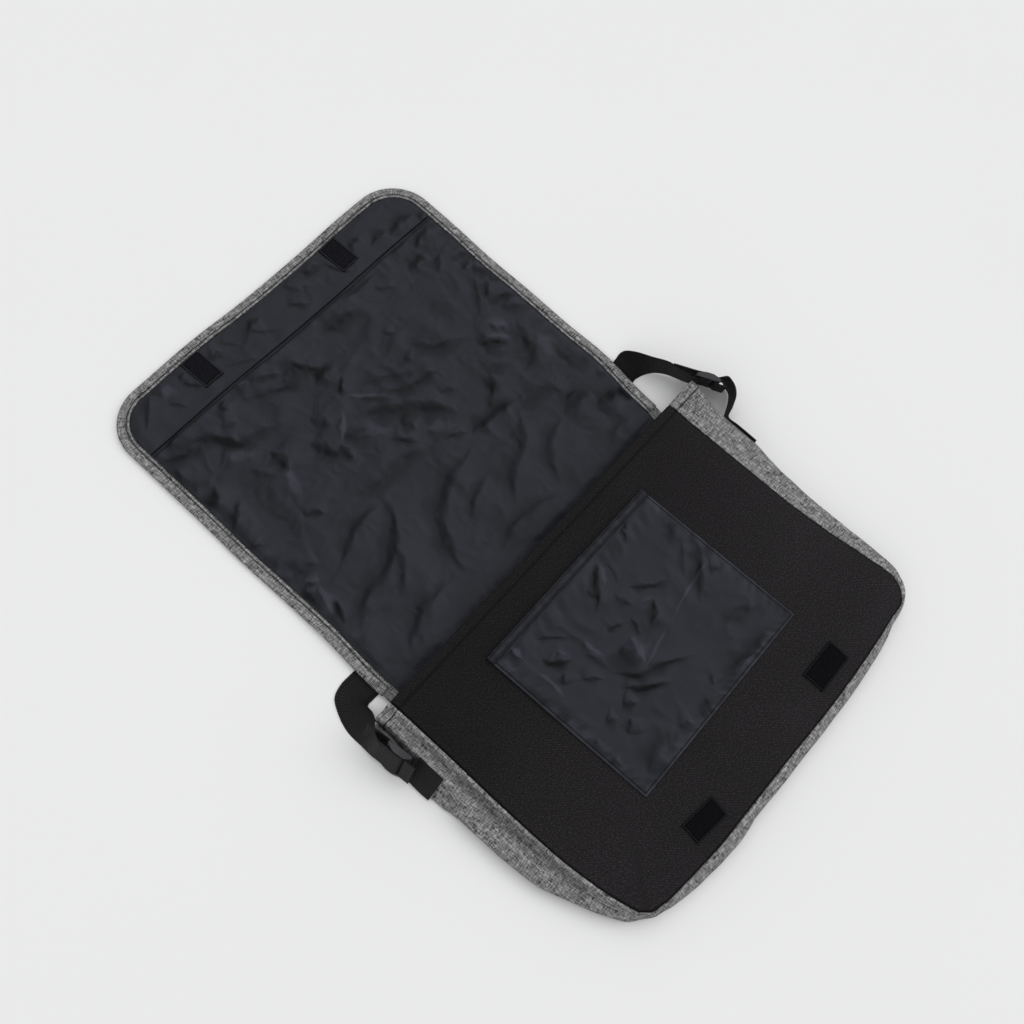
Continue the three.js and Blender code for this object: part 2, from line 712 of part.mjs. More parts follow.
// The hidden stretch of the strap lies flat in one wide loop under the flap: chosen centre points,
// x as shares of halfWidth and y as shares of flapLength
const strapLoop = [
  { x: 0.905, y: 0.156 },
  { x: 0.751, y: 0.167 },
  { x: 0.627, y: 0.208 },
  { x: 0.576, y: 0.294 },
  { x: 0.581, y: 0.417 },
  { x: 0.571, y: 0.534 },
  { x: 0.504, y: 0.646 },
  { x: 0.339, y: 0.732 },
  { x: 0.103, y: 0.768 },
  { x: -0.144, y: 0.755 },
  { x: -0.36, y: 0.698 },
  { x: -0.494, y: 0.604 },
  { x: -0.545, y: 0.49 },
  { x: -0.55, y: 0.365 },
  { x: -0.566, y: 0.25 },
  { x: -0.627, y: 0.151 },
  { x: -0.751, y: 0.096 },
  { x: -0.884, y: 0.081 },
];
const strapFlat = 0.8;

function flatStations() {
  const spots = strapLoop.map(({ x, y }) => point(x * halfWidth, y * flapLength, strapFlat));
  return spots.map((middle, i) => {
    const before = spots[Math.max(0, i - 1)];
    const after = spots[Math.min(spots.length - 1, i + 1)];
    const across = point(before.y - after.y, after.x - before.x, 0).normalize();
    return {
      low: middle.clone().addScaledVector(across, webbingWidth / 2),
      high: middle.clone().addScaledVector(across, -webbingWidth / 2),
    };
  });
}

// A station beside the bag: how far out from the panel's side, how far along and how high its two edges lie
const beside = (side, [out, y, z]) => point(side * (halfWidth + out), y, z);
const station = (side, low, high) => ({ low: beside(side, low), high: beside(side, high) });

// Visible ends of the strap, from the flap's side to the buckle: chosen low and high edge points
const rightVisible = [
  station(1, [7.5, 45, strapFlat], [15.5, 74, strapFlat]),
  station(1, [15, 46, strapFlat], [22.5, 73, 8]),
  station(1, [21.5, 44, 0.9], [23.5, 63, 23]),
  station(1, [31.5, 38, 1], [28.5, 46, 29.5]),
  station(1, [39.5, 27, 1.6], [36.5, 28, 31.4]),
];
const leftVisible = [
  station(-1, [2.5, 46, strapFlat], [2.5, 16, strapFlat]),
  station(-1, [12.5, 45.5, strapFlat], [9.5, 16.5, strapFlat]),
  station(-1, [24.5, 42, strapFlat], [11.5, 15, 3]),
  station(-1, [32.5, 29, 0.9], [13.5, 9, 8]),
  station(-1, [37.5, 13, 1], [18.5, 2, 16]),
  station(-1, [39.5, -4, 1.6], [25.5, -6, 27]),
];

const strapTail = 25;
const strapEnd = (frame) => [
  atBuckle(frame, -barPitch - 9, wrap + 0.2),
  ...hairpin(frame, -barPitch, 1, strapTail),
];

function makeStrap() {
  const right = [...rightVisible, ...strapEnd(rightBuckle)].reverse();
  const left = [...leftVisible, ...strapEnd(leftBuckle)];
  return band([...right, ...flatStations(), ...left], 130);
}

// Anchor webbing: sewn down on the gusset over a stretch of the seam path, then free to the buckle
const sewnFoot = 0.7;
const sewnShoulder = 0.43;
const sewnGap = 0.95;
function makeAnchor(frame, shares, free, comingSide) {
  const sewn = shares.map((share) => {
    const inward = gussetInward((sewnFoot + sewnShoulder) / 2, share);
    const outward = inward.multiplyScalar(-(webbingWall / 2 + sewnGap));
    return {
      low: gussetPlace(sewnFoot, share).add(outward),
      high: gussetPlace(sewnShoulder, share).add(outward),
    };
  });
  const reach = comingSide > 0 ? 6.5 : 5;
  const near = atBuckle(frame, barPitch + reach, comingSide * (wrap + reach / 2));
  const stations = [...sewn, ...free, near, ...hairpin(frame, barPitch, comingSide, 9)];
  return band(stations, 40);
}

const rightAnchorSewn = [0.09, 0.078, 0.066, 0.053];
const leftAnchorSewn = [0.918, 0.928, 0.938, 0.946];
const rightAnchorFree = [
  station(1, [45.5, -43, 1], [40.5, -46.5, 30]),
  station(1, [57.5, -38, 1], [53, -41.5, 30]),
  station(1, [66.5, -31.5, 1], [60, -35, 30]),
  station(1, [69, -25, 1.3], [63, -27, 31]),
];

const bag = new THREE.Group();
function add(name, geometry, material) {
  const mesh = new THREE.Mesh(geometry, material);
  mesh.name = name;
  bag.add(mesh);
}

add("back_panel", makeBackPanel(), heather);
add("gusset", makeGusset(), heather);
add("front_panel", makeFrontPanel(), canvas);
add("front_pocket", makePocket(), nylon);
add("pocket_hem", makePocketHem(), nylon);
add("loop_patch_left", makeLoopPatch(-1), hookLoop);
add("loop_patch_right", makeLoopPatch(1), hookLoop);
add("flap_shell", makeFlapShell(), heather);
add("flap_lining", makeFlapLining(), nylon);
add("flap_facing", makeFlapFacing(), nylon);
add("flap_binding", makeFlapBinding(), heather);
add("hook_tab_left", makeHookTab(-1), hookLoop);
add("hook_tab_right", makeHookTab(1), hookLoop);
add("strap_buckle_left", makeBuckle(leftBuckle), plastic);
add("strap_buckle_right", makeBuckle(rightBuckle), plastic);
add("strap_anchor_left", makeAnchor(leftBuckle, leftAnchorSewn, [], -1), webbing);
add("strap_anchor_right", makeAnchor(rightBuckle, rightAnchorSewn, rightAnchorFree, 1), webbing);
add("shoulder_strap", makeStrap(), webbing);

// The origin is the middle of the underside of the whole bag
const whole = new THREE.Box3().setFromObject(bag);
const middle = whole.getCenter(new THREE.Vector3());
bag.position.set(-middle.x, -middle.y, -whole.min.z);

const root = new THREE.Group();
root.add(bag);
export default root;
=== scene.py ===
# Dresses the laptop messenger bag in its cloth, webbing, tape, thread and moulded buckles.
# Shapes are worked out in millimetres in the bag's own layout: x = 0 in the middle of the
# mouth, y = 0 at the mouth and growing towards the flap's free end, z = 0 on the surface.
import math
import bpy
import numpy as np
from mathutils import Matrix, Vector


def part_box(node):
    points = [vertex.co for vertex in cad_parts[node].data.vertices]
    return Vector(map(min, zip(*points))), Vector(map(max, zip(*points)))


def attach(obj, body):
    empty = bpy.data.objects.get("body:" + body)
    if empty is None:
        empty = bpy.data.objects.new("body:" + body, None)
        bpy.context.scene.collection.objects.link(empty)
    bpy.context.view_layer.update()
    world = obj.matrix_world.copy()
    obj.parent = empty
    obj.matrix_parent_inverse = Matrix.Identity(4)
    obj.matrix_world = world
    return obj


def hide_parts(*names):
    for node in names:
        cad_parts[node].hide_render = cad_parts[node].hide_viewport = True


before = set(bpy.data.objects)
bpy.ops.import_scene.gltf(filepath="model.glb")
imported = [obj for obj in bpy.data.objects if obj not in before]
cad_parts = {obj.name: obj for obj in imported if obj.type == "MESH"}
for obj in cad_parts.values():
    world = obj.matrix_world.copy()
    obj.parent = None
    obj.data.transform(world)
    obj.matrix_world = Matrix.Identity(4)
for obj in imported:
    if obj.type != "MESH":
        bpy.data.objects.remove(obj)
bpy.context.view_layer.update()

# Sizes of the bag in millimetres
PANEL_WIDTH = 389.0
PANEL_LENGTH = 285.0
PANEL_CORNER = 18.0
BAG_DEPTH = 29.0
GUSSET_REACH = 36.0
FLAP_LENGTH = 379.0
FLAP_CORNER = 44.0
FLAP_SKEW = 0.0086
FACING_LENGTH = 60.0
BINDING_WIDTH = 11.0
POCKET_WIDTH = 218.0
POCKET_LENGTH = 178.0
POCKET_FROM_MOUTH = 36.0
POCKET_SHIFT = -3.0
POCKET_PUFF = 2.5
POCKET_HEM = 8.5
PATCH_LENGTH = 21.5
PATCH_FROM_BOTTOM = 10.0
TAB_WIDTH = 22.0
TAB_LENGTH = 35.0
FASTENING_SPACING = 182.0
FASTENING_SHIFT = -5.0
WEBBING_WIDTH = 30.0
SHELL_WALL = 1.6
LINING_WALL = 1.0
FLAP_WALL = 1.2
BINDING_WALL = 1.0
POCKET_WALL = 1.2
PATCH_WALL = 1.6
WEBBING_WALL = 1.5
GAP = 0.35
LAYER_GAP = 0.55
BUCKLE_BAR = 3.0
BUCKLE_SLOT = 7.5
BUCKLE_SIDE = 3.0
BUCKLE_THICKNESS = 3.0
BUCKLE_CLEAR = 0.6
BUCKLE_REST = 1.2
BUCKLE_BOW = 1.2
FLAP_REST = WEBBING_WALL + GAP + 0.1
FLAP_LIFT = WEBBING_WALL + GAP + BINDING_WALL + GAP + 0.2
FLAP_HINGE = 1.7
HINGE_RUN = 12.0
SETTLE_START = 90.0
SETTLE_RUN = 40.0
FOLD_HEIGHT = 3.2
LINING_INSET = BINDING_WIDTH + 2 * GAP
HALF = PANEL_WIDTH / 2
SIDE = PANEL_LENGTH - PANEL_CORNER
BOTTOM = PANEL_WIDTH - 2 * PANEL_CORNER
CORNER = math.pi / 2 * PANEL_CORNER
SEAM_PATH = 2 * SIDE + 2 * CORNER + BOTTOM
MM = 0.001

# The layout's place in the row frame, from where the back panel lies
BACK_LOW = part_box("back_panel")[0]
SHIFT = np.array([BACK_LOW[0] / MM + HALF, BACK_LOW[1] / MM + PANEL_LENGTH, 0.0])


# Numbers and tables

def ease(t):
    t = np.clip(t, 0, 1)
    return t * t * (3 - 2 * t)


def mix(a, b, t):
    return a + (b - a) * t


def bell(x, width):
    """A smooth bump of height 1 round nothing that is nearly flat beyond twice its width."""
    return np.exp(-(x / width) ** 2)


def distances(path):
    """How far along a path each of its points lies."""
    return np.concatenate([[0], np.cumsum(np.linalg.norm(np.diff(path, axis=0), axis=1))])


def read_table(rows, place, column):
    """A column of a table at places along it, on a smooth curve through the rows."""
    at = np.array([row[0] for row in rows], float)
    values = np.array([row[column] for row in rows], float)
    before = np.maximum(np.arange(len(at)) - 1, 0)
    after = np.minimum(np.arange(len(at)) + 1, len(at) - 1)
    slopes = (values[after] - values[before]) / (at[after] - at[before])
    place = np.asarray(place, float)
    low = np.clip(np.searchsorted(at, place, side="left") - 1, 0, len(at) - 2)
    run = at[low + 1] - at[low]
    t = np.clip((place - at[low]) / run, 0, 1)
    bend = slopes[low] * run * t * (1 - t) ** 2 - slopes[low + 1] * run * t * t * (1 - t)
    return mix(values[low], values[low + 1], ease(t)) + bend


def corner_inset(radius, before):
    rise = np.clip(1 - np.asarray(before, float) / radius, 0, 1)
    return radius * (1 - np.sqrt(1 - rise * rise))


def cloud(x, y, size, seed):
    """Smooth random heights from -1 to 1 whose bumps are about size apart."""
    lattice = np.random.default_rng(seed).uniform(-1, 1, (64, 64))
    u, v = np.asarray(x, float) / size + 31.4, np.asarray(y, float) / size + 27.1
    iu, iv = np.floor(u).astype(int), np.floor(v).astype(int)
    fu, fv = ease(u - iu), ease(v - iv)
    pick = lambda i, j: lattice[(iu + i) % 64, (iv + j) % 64]
    low = mix(pick(0, 0), pick(1, 0), fu)
    high = mix(pick(0, 1), pick(1, 1), fu)
    return mix(low, high, fv)


def crumple(x, y, size, seed):
    """Soft creases like those of thin cloth: ridges where a warped noise crosses its middle."""
    wx = x + 0.45 * size * cloud(x, y, size * 1.3, seed + 1)
    wy = y + 0.45 * size * cloud(x, y, size * 1.3, seed + 2)
    n = cloud(wx, wy, size, seed)
    return 1 - np.sqrt(n * n + 0.015) * 1.6


def centripetal(points, t):
    """The same curve through a few points as in the part's source, at shares t of its stretches."""
    points = np.asarray(points, float)
    n = len(points)
    place = np.clip(np.asarray(t, float), 0, 1) * (n - 1)
    low = np.minimum(np.floor(place).astype(int), n - 2)
    w = (place - low)[..., None]
    before = np.where((low > 0)[..., None], points[np.maximum(low - 1, 0)], 2 * points[0] - points[1])
    p1, p2 = points[low], points[low + 1]
    past_end = 2 * points[-1] - points[-2]
    after = np.where((low < n - 2)[..., None], points[np.minimum(low + 2, n - 1)], past_end)
    d = lambda a, b: np.maximum(np.linalg.norm(b - a, axis=-1, keepdims=True) ** 0.5, 1e-4)
    dt0, dt1, dt2 = d(before, p1), d(p1, p2), d(p2, after)
    t1 = (p1 - before) / dt0 - (p2 - before) / (dt0 + dt1) + (p2 - p1) / dt1
    t2 = (p2 - p1) / dt1 - (after - p1) / (dt1 + dt2) + (after - p2) / dt2
    t1, t2 = t1 * dt1, t2 * dt1
    c2 = -3 * p1 + 3 * p2 - 2 * t1 - t2
    c3 = 2 * p1 - 2 * p2 + t1 + t2
    return p1 + t1 * w + c2 * w * w + c3 * w ** 3


# The steep face of a crease looks down towards the left side of the bag, away from the light; faces that look
# this way get painted shade, faces that look the other way painted light
DOWNHILL = (-0.926, 0.151)
CREASE_STEPS = 5
CREASE_LIMIT = 6.5
CREASE_POINT = 0.34
CREASE_WARP = 1.7
CREASE_CRISP = 3.2
SLOPE_REACH = 1.4
SLOPE_SHADE = 0.85
SLOPE_LIGHT = 0.32
CREASE_DARK = 0.95
NYLON_LIFT = 0.14


def crease(x, y, row):
    """A crease along a curve through a few points: its height, and the painted shade on its steep face.

    A share below nothing gives painted light instead, on a crease whose steep face looks the other way."""
    spots = np.array(row[:-2], float).reshape(-1, 2)
    width, share = row[-2:]
    steps = CREASE_STEPS * (len(spots) - 1)
    path = centripetal(spots, np.linspace(0, 1, steps + 1))
    best = np.full(x.shape, np.inf)
    offset, place = np.zeros(x.shape), np.zeros(x.shape)
    for i in range(steps):
        run = path[i + 1] - path[i]
        u = np.clip(((x - path[i, 0]) * run[0] + (y - path[i, 1]) * run[1]) / (run @ run), 0, 1)
        dx, dy = x - path[i, 0] - u * run[0], y - path[i, 1] - u * run[1]
        far = np.hypot(dx, dy)
        closer = far < best
        best = np.where(closer, far, best)
        offset = np.where(closer, far * np.sign(run[0] * dy - run[1] * dx), offset)
        place = np.where(closer, (i + u) / steps, place)
    way = (spots[-1, 0] - spots[0, 0]) * DOWNHILL[1] - (spots[-1, 1] - spots[0, 1]) * DOWNHILL[0]
    offset = -offset * math.copysign(1, way) * math.copysign(1, share)
    taper = ease(np.minimum(place, 1 - place) / CREASE_POINT)
    wide = width * (0.25 + 0.75 * taper) * (1 + 0.25 * np.sin(place * steps * 1.3 + width * 7))
    ramp = np.clip((offset + wide) / (2 * wide), 0, 1)
    beyond = np.exp(-np.maximum(offset - wide, 0) / (1.8 * width + 5))
    rise = width / (1 + width / 12) * abs(share) ** 0.7
    height = rise * taper * mix(ramp, ease(ramp), 0.7) * beyond
    side = np.where(offset > 0, 1.0, 1.9)
    return height, np.exp(-np.abs(offset / (side * wide)) ** CREASE_CRISP) * taper * share


def creases(x, y, rows):
    """Height and painted shade of many creases together, their edges wavering as cloth does."""
    x, y = (x + CREASE_WARP * cloud(x, y, 15, 91) + 0.45 * CREASE_WARP * cloud(x, y, 6, 92),
            y + CREASE_WARP * cloud(x, y, 15, 93) + 0.45 * CREASE_WARP * cloud(x, y, 6, 94))
    height, dark = np.zeros(x.shape), np.zeros(x.shape)
    for row in rows:
        reach = 5 * row[-2] + 16
        near = (x > min(row[:-2:2]) - reach) & (x < max(row[:-2:2]) + reach)
        near &= (y > min(row[1:-2:2]) - reach) & (y < max(row[1:-2:2]) + reach)
        if near.any():
            up, face = crease(x[near], y[near], row)
            height[near] += up
            dark[near] += face
    dark = dark * (0.85 + 0.3 * cloud(x, y, 12, 95))
    return CREASE_LIMIT * np.tanh(height / CREASE_LIMIT), np.clip(dark, -1, 1)


def slope_shade(height, x, y):
    """Painted shade where loose glossy cloth falls away downhill, and painted light where it rises."""
    fall = height(x, y) - height(x + DOWNHILL[0] * SLOPE_REACH, y + DOWNHILL[1] * SLOPE_REACH)
    return np.maximum(np.tanh(fall / SLOPE_REACH * SLOPE_SHADE * 1.6) * SLOPE_SHADE, -SLOPE_LIGHT)


# Meshes

def add_object(name, points, faces, threads=None, shade=None):
    """A mesh from points in the layout's millimetres, with the cloth's own coordinates and painted fold
    shade.
    """
    points = (np.asarray(points, float) + SHIFT) * MM
    mesh = bpy.data.meshes.new(name)
    mesh.from_pydata(points.tolist(), [], [list(f) for f in faces])
    mesh.update()
    if threads is not None:
        layer = mesh.attributes.new("threads", "FLOAT_VECTOR", "POINT")
        data = np.zeros((len(points), 3))
        data[:, :2] = np.asarray(threads, float) * MM
        layer.data.foreach_set("vector", data.ravel())
    if shade is not None:
        layer = mesh.attributes.new("fold_shade", "FLOAT", "POINT")
        layer.data.foreach_set("value", np.asarray(shade, float).ravel())
    mesh.polygons.foreach_set("use_smooth", [True] * len(mesh.polygons))
    obj = bpy.data.objects.new(name, mesh)
    bpy.context.collection.objects.link(obj)
    return obj


def round_the_rim(index):
    return np.concatenate([index[0, :-1], index[:-1, -1], index[-1, :0:-1], index[:0:-1, 0]])


def quads(index):
    return np.stack([index[:-1, :-1], index[:-1, 1:], index[1:, 1:], index[1:, :-1]], 2).reshape(-1, 4)


def shell(name, outer, inner, threads, shade=None, coarse=1):
    """Closed cloth wall between two grids of points; the hidden face may be coarser than the outer one."""
    rows, columns = outer.shape[:2]
    few_rows = np.unique(np.append(np.arange(0, rows, coarse), rows - 1))
    few_columns = np.unique(np.append(np.arange(0, columns, coarse), columns - 1))
    few = np.ix_(few_rows, few_columns)
    count = rows * columns
    index = np.arange(count).reshape(rows, columns)
    under = np.arange(len(few_rows) * len(few_columns)).reshape(len(few_rows), len(few_columns)) + count
    faces = quads(index).tolist() + quads(under)[:, ::-1].tolist()
    rim = round_the_rim(index).tolist()
    place = {spot: i for i, spot in enumerate(rim)}
    low = round_the_rim(under).tolist()
    corners = [place[spot] for spot in round_the_rim(index[few]).tolist()]
    for i, start in enumerate(corners):
        stop = corners[(i + 1) % len(corners)] or len(rim)
        between = [rim[k % len(rim)] for k in range(stop, start, -1)]
        faces.append([rim[start], low[i], low[(i + 1) % len(low)]] + between)
    points = np.concatenate([outer.reshape(-1, 3), inner[few].reshape(-1, 3)])
    both = np.concatenate([threads.reshape(-1, 2), threads[few].reshape(-1, 2)])
    if shade is not None:
        shade = np.concatenate([shade.ravel(), 0 * shade[few].ravel()])
    obj = add_object(name, points, faces, both, shade)
    face_outwards(obj)
    return obj


def face_outwards(obj):
    """Turns the faces of a closed mesh round if they face in."""
    mesh = obj.data
    mesh.calc_loop_triangles()
    corners = np.empty(len(mesh.vertices) * 3)
    mesh.vertices.foreach_get("co", corners)
    corners = corners.reshape(-1, 3)
    triangles = np.empty(len(mesh.loop_triangles) * 3, int)
    mesh.loop_triangles.foreach_get("vertices", triangles)
    t = corners[triangles.reshape(-1, 3)]
    if np.einsum("ij,ij->i", t[:, 0], np.cross(t[:, 1], t[:, 2])).sum() < 0:
        mesh.flip_normals()


def grid_normals(points):
    along = np.gradient(points, axis=0)
    across = np.gradient(points, axis=1)
    n = np.cross(across, along)
    return n / np.maximum(np.linalg.norm(n, axis=2, keepdims=True), 1e-9)


def finish_piece(obj, material, nodes):
    obj.data.materials.append(material)
    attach(obj, "root")
    if nodes:
        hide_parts(*nodes)
    return obj


# Surfaces of the bag

SIDE_FALL = 2.0
SIDE_FALL_RUN = 22.0
BOTTOM_FALL = 5.0
BOTTOM_FALL_RUN = 30.0


def front_height(x, y):
    side = SIDE_FALL * (1 - ease((HALF - np.abs(x)) / SIDE_FALL_RUN))
    bottom = BOTTOM_FALL * (1 - ease((PANEL_LENGTH + y) / BOTTOM_FALL_RUN)) ** 1.5
    return BAG_DEPTH - side - bottom


FLAP_OUTLINE = [
    (0, -0.98, 1.008), (0.1, -0.975, 1.025), (0.22, -0.957, 1.058), (0.37, -0.95, 1.068),
    (0.5, -0.948, 1.08), (0.63, -0.937, 1.086), (0.79, -0.928, 1.108), (1, -0.915, 1.122),
]
FLAP_END = [
    (-0.95, -0.006), (-0.65, -0.003), (-0.32, 0.0018), (0.0, -0.0034), (0.35, -0.002),
    (0.75, 0.0055), (1.1, 0.004),
]
FLAP_FOLDS = [
    (0.22, 0.45, 0.7, 0.14, 0.28), (0.34, -0.5, 0.6, 0.2, 0.26), (0.52, 0.5, 1, 0.13, 0.3),
    (0.58, -0.05, 0.7, 0.15, 0.26), (0.72, -0.5, 0.6, 0.13, 0.34),
]


def flap_height(x, y):
    rising = mix(FLAP_HINGE, FLAP_LIFT, ease(y / HINGE_RUN))
    height = mix(rising, FLAP_REST, ease((y - SETTLE_START) / SETTLE_RUN))
    for along, across, share, long_spread, wide_spread in FLAP_FOLDS:
        a = (y / FLAP_LENGTH - along) / long_spread
        b = (x / HALF - across) / wide_spread
        height = height + share * FOLD_HEIGHT * np.exp(-a * a - b * b)
    return height


def flap_spot(across, y, inset):
    """Place on the flap between its left edge (0) and right edge (1), held in by inset."""
    length = FLAP_LENGTH - inset
    round_in = corner_inset(FLAP_CORNER - inset, length - y)
    share = np.clip(y / FLAP_LENGTH, 0, 1)
    left = read_table(FLAP_OUTLINE, share, 1) * HALF + inset + round_in
    right = read_table(FLAP_OUTLINE, share, 2) * HALF - inset - round_in
    x = mix(left, right, across)
    return x, np.where(y > 0, y * flap_stretch(x, share), y)


def flap_stretch(x, share):
    """How much longer the flap is at this place across, from its skew and the waves of its end."""
    return 1 - FLAP_SKEW * x / HALF + read_table(FLAP_END, x / HALF, 1) * share ** 3


GUSSET_COLUMNS = (
    "at", "seam_out", "shelf_out", "shelf_up", "shoulder_out", "shoulder_up",
    "side_out", "side_up", "foot_out", "back_out",
)
GUSSET_TABLE = [
    (0, 0.014, 0.44, 1.0, 0.86, 0.97, 0.9, 0.5, 0.92, 0),
    (0.053, -0.007, 0.4, 0.99, 0.78, 0.97, 0.8, 0.5, 0.87, 0),
    (0.095, -0.024, 0.38, 0.98, 0.74, 0.95, 0.76, 0.5, 0.83, 0),
    (0.13, -0.035, 0.36, 0.97, 0.63, 0.91, 0.68, 0.5, 0.66, 0),
    (0.17, -0.028, 0.34, 0.96, 0.57, 0.86, 0.66, 0.48, 0.56, 0),
    (0.21, 0.042, 0.33, 0.95, 0.55, 0.83, 0.64, 0.48, 0.52, 0),
    (0.25, 0.145, 0.35, 0.95, 0.54, 0.82, 0.62, 0.48, 0.5, 0),
    (0.275, 0.19, 0.33, 0.94, 0.48, 0.8, 0.54, 0.48, 0.44, 0),
    (0.29, 0.083, 0.21, 0.94, 0.29, 0.8, 0.32, 0.48, 0.28, 0),
    (0.3, 0.014, 0.1, 0.93, 0.15, 0.76, 0.17, 0.48, 0.16, 0),
    (0.312, -0.06, 0.03, 0.93, 0.07, 0.74, 0.1, 0.48, 0.1, 0),
    (0.34, -0.007, 0.1, 0.94, 0.18, 0.78, 0.225, 0.48, 0.2, 0),
    (0.38, 0.055, 0.17, 0.94, 0.27, 0.78, 0.32, 0.48, 0.28, 0),
    (0.43, 0.09, 0.21, 0.94, 0.33, 0.78, 0.38, 0.48, 0.32, 0),
    (0.5, 0.055, 0.19, 0.94, 0.31, 0.78, 0.355, 0.46, 0.31, 0),
    (0.56, 0.036, 0.18, 0.94, 0.3, 0.78, 0.345, 0.46, 0.3, 0),
    (0.585, 0.033, 0.2, 0.94, 0.33, 0.78, 0.385, 0.46, 0.33, 0),
    (0.61, 0.014, 0.17, 0.92, 0.29, 0.76, 0.35, 0.46, 0.3, 0),
    (0.64, -0.055, 0.09, 0.9, 0.19, 0.72, 0.25, 0.44, 0.22, 0),
    (0.67, -0.14, -0.02, 0.86, 0.04, 0.7, 0.08, 0.42, 0.07, -0.04),
    (0.685, -0.235, -0.15, 0.84, -0.1, 0.7, -0.09, 0.42, -0.09, -0.18),
    (0.7, -0.297, -0.24, 0.84, -0.19, 0.7, -0.175, 0.42, -0.18, -0.25),
    (0.71, -0.29, -0.22, 0.84, -0.16, 0.68, -0.135, 0.42, -0.14, -0.23),
    (0.72, -0.2, -0.08, 0.8, 0.0, 0.66, 0.05, 0.42, 0.04, -0.06),
    (0.74, -0.083, 0.1, 0.68, 0.22, 0.64, 0.3, 0.42, 0.27, 0),
    (0.76, -0.007, 0.17, 0.6, 0.38, 0.66, 0.49, 0.42, 0.45, 0),
    (0.8, 0.075, 0.2, 0.55, 0.52, 0.68, 0.8, 0.42, 0.72, 0),
    (0.875, 0.065, 0.2, 0.55, 0.54, 0.74, 0.85, 0.44, 0.78, 0),
    (0.915, 0.03, 0.24, 0.66, 0.5, 0.86, 0.69, 0.44, 0.92, 0),
    (0.946, 0.014, 0.25, 0.72, 0.48, 0.9, 0.66, 0.46, 0.88, 0),
    (0.968, 0.003, 0.25, 0.76, 0.46, 0.9, 0.54, 0.48, 0.5, 0),
    (1, -0.008, 0.24, 0.82, 0.44, 0.92, 0.48, 0.48, 0.4, 0),
]
SEAM_RUN = 3.0
SEAM_SLOPE = 0.17
SEAM_SHARE = 0.6
FOOT_UP = 0.045
RIGHT_FLARE = 0.2
FLARE_END = 0.05


def seam_at(share):
    """Seam round three sides of the panel, right mouth to left mouth: points and outward directions."""
    distance = np.asarray(share, float) * SEAM_PATH
    mirrored = distance > SEAM_PATH / 2
    s = np.where(mirrored, SEAM_PATH - distance, distance)
    side = np.where(mirrored, -1.0, 1.0)
    angle = np.clip((s - SIDE) / PANEL_CORNER, 0, math.pi / 2)
    bottom = np.maximum(s - SIDE - CORNER, 0)
    x = side * (HALF - PANEL_CORNER + PANEL_CORNER * np.cos(angle) - bottom)
    y = -np.minimum(s, SIDE) - PANEL_CORNER * np.sin(angle)
    return x, y, side * np.cos(angle), -np.sin(angle)


def gusset_row(share, column):
    return read_table(GUSSET_TABLE, share, GUSSET_COLUMNS.index(column))


def gusset_section(share):
    """Corners of the gusset's section at one share of the seam: (out, up) from the rounded outline."""
    x, y, _, _ = seam_at(share)
    top = float(front_height(x, y))
    row = {name: float(gusset_row(share, name)) for name in GUSSET_COLUMNS[1:]}
    reach = GUSSET_REACH
    front = row["seam_out"] * reach + GAP
    back = row["back_out"] * reach + GAP
    shelf = row["shelf_out"] * reach
    foot = row["foot_out"] * reach
    front_run = min(SEAM_RUN, (shelf - front) * SEAM_SHARE)
    return np.array([
        (front, top), (front + front_run, top - SEAM_SLOPE * front_run),
        (shelf, row["shelf_up"] * top), (row["shoulder_out"] * reach, row["shoulder_up"] * top),
        (row["side_out"] * reach, row["side_up"] * top), (foot, FOOT_UP * top),
        (back + min(SEAM_RUN, (foot - back) * SEAM_SHARE), 0), (back, 0),
    ])


def gusset_grid(across, shares):
    grid = np.zeros((len(shares), len(across), 3))
    for i, share in enumerate(shares):
        section = centripetal(gusset_section(share), across)
        section[:, 0] *= 1 + RIGHT_FLARE * (1 - ease(share / FLARE_END))
        x, y, ox, oy = (float(v) for v in seam_at(share))
        grid[i, :, 0] = x + ox * section[:, 0]
        grid[i, :, 1] = y + oy * section[:, 0]
        grid[i, :, 2] = np.maximum(section[:, 1], 0)
    return grid


# Materials

def group(name, inputs, outputs):
    tree = bpy.data.node_groups.new(name, "ShaderNodeTree")
    for label, kind, value in inputs:
        socket = tree.interface.new_socket(label, in_out="INPUT", socket_type=kind)
        if value is not None:
            socket.default_value = value
    for label, kind in outputs:
        tree.interface.new_socket(label, in_out="OUTPUT", socket_type=kind)
    return tree, tree.nodes.new("NodeGroupInput"), tree.nodes.new("NodeGroupOutput")


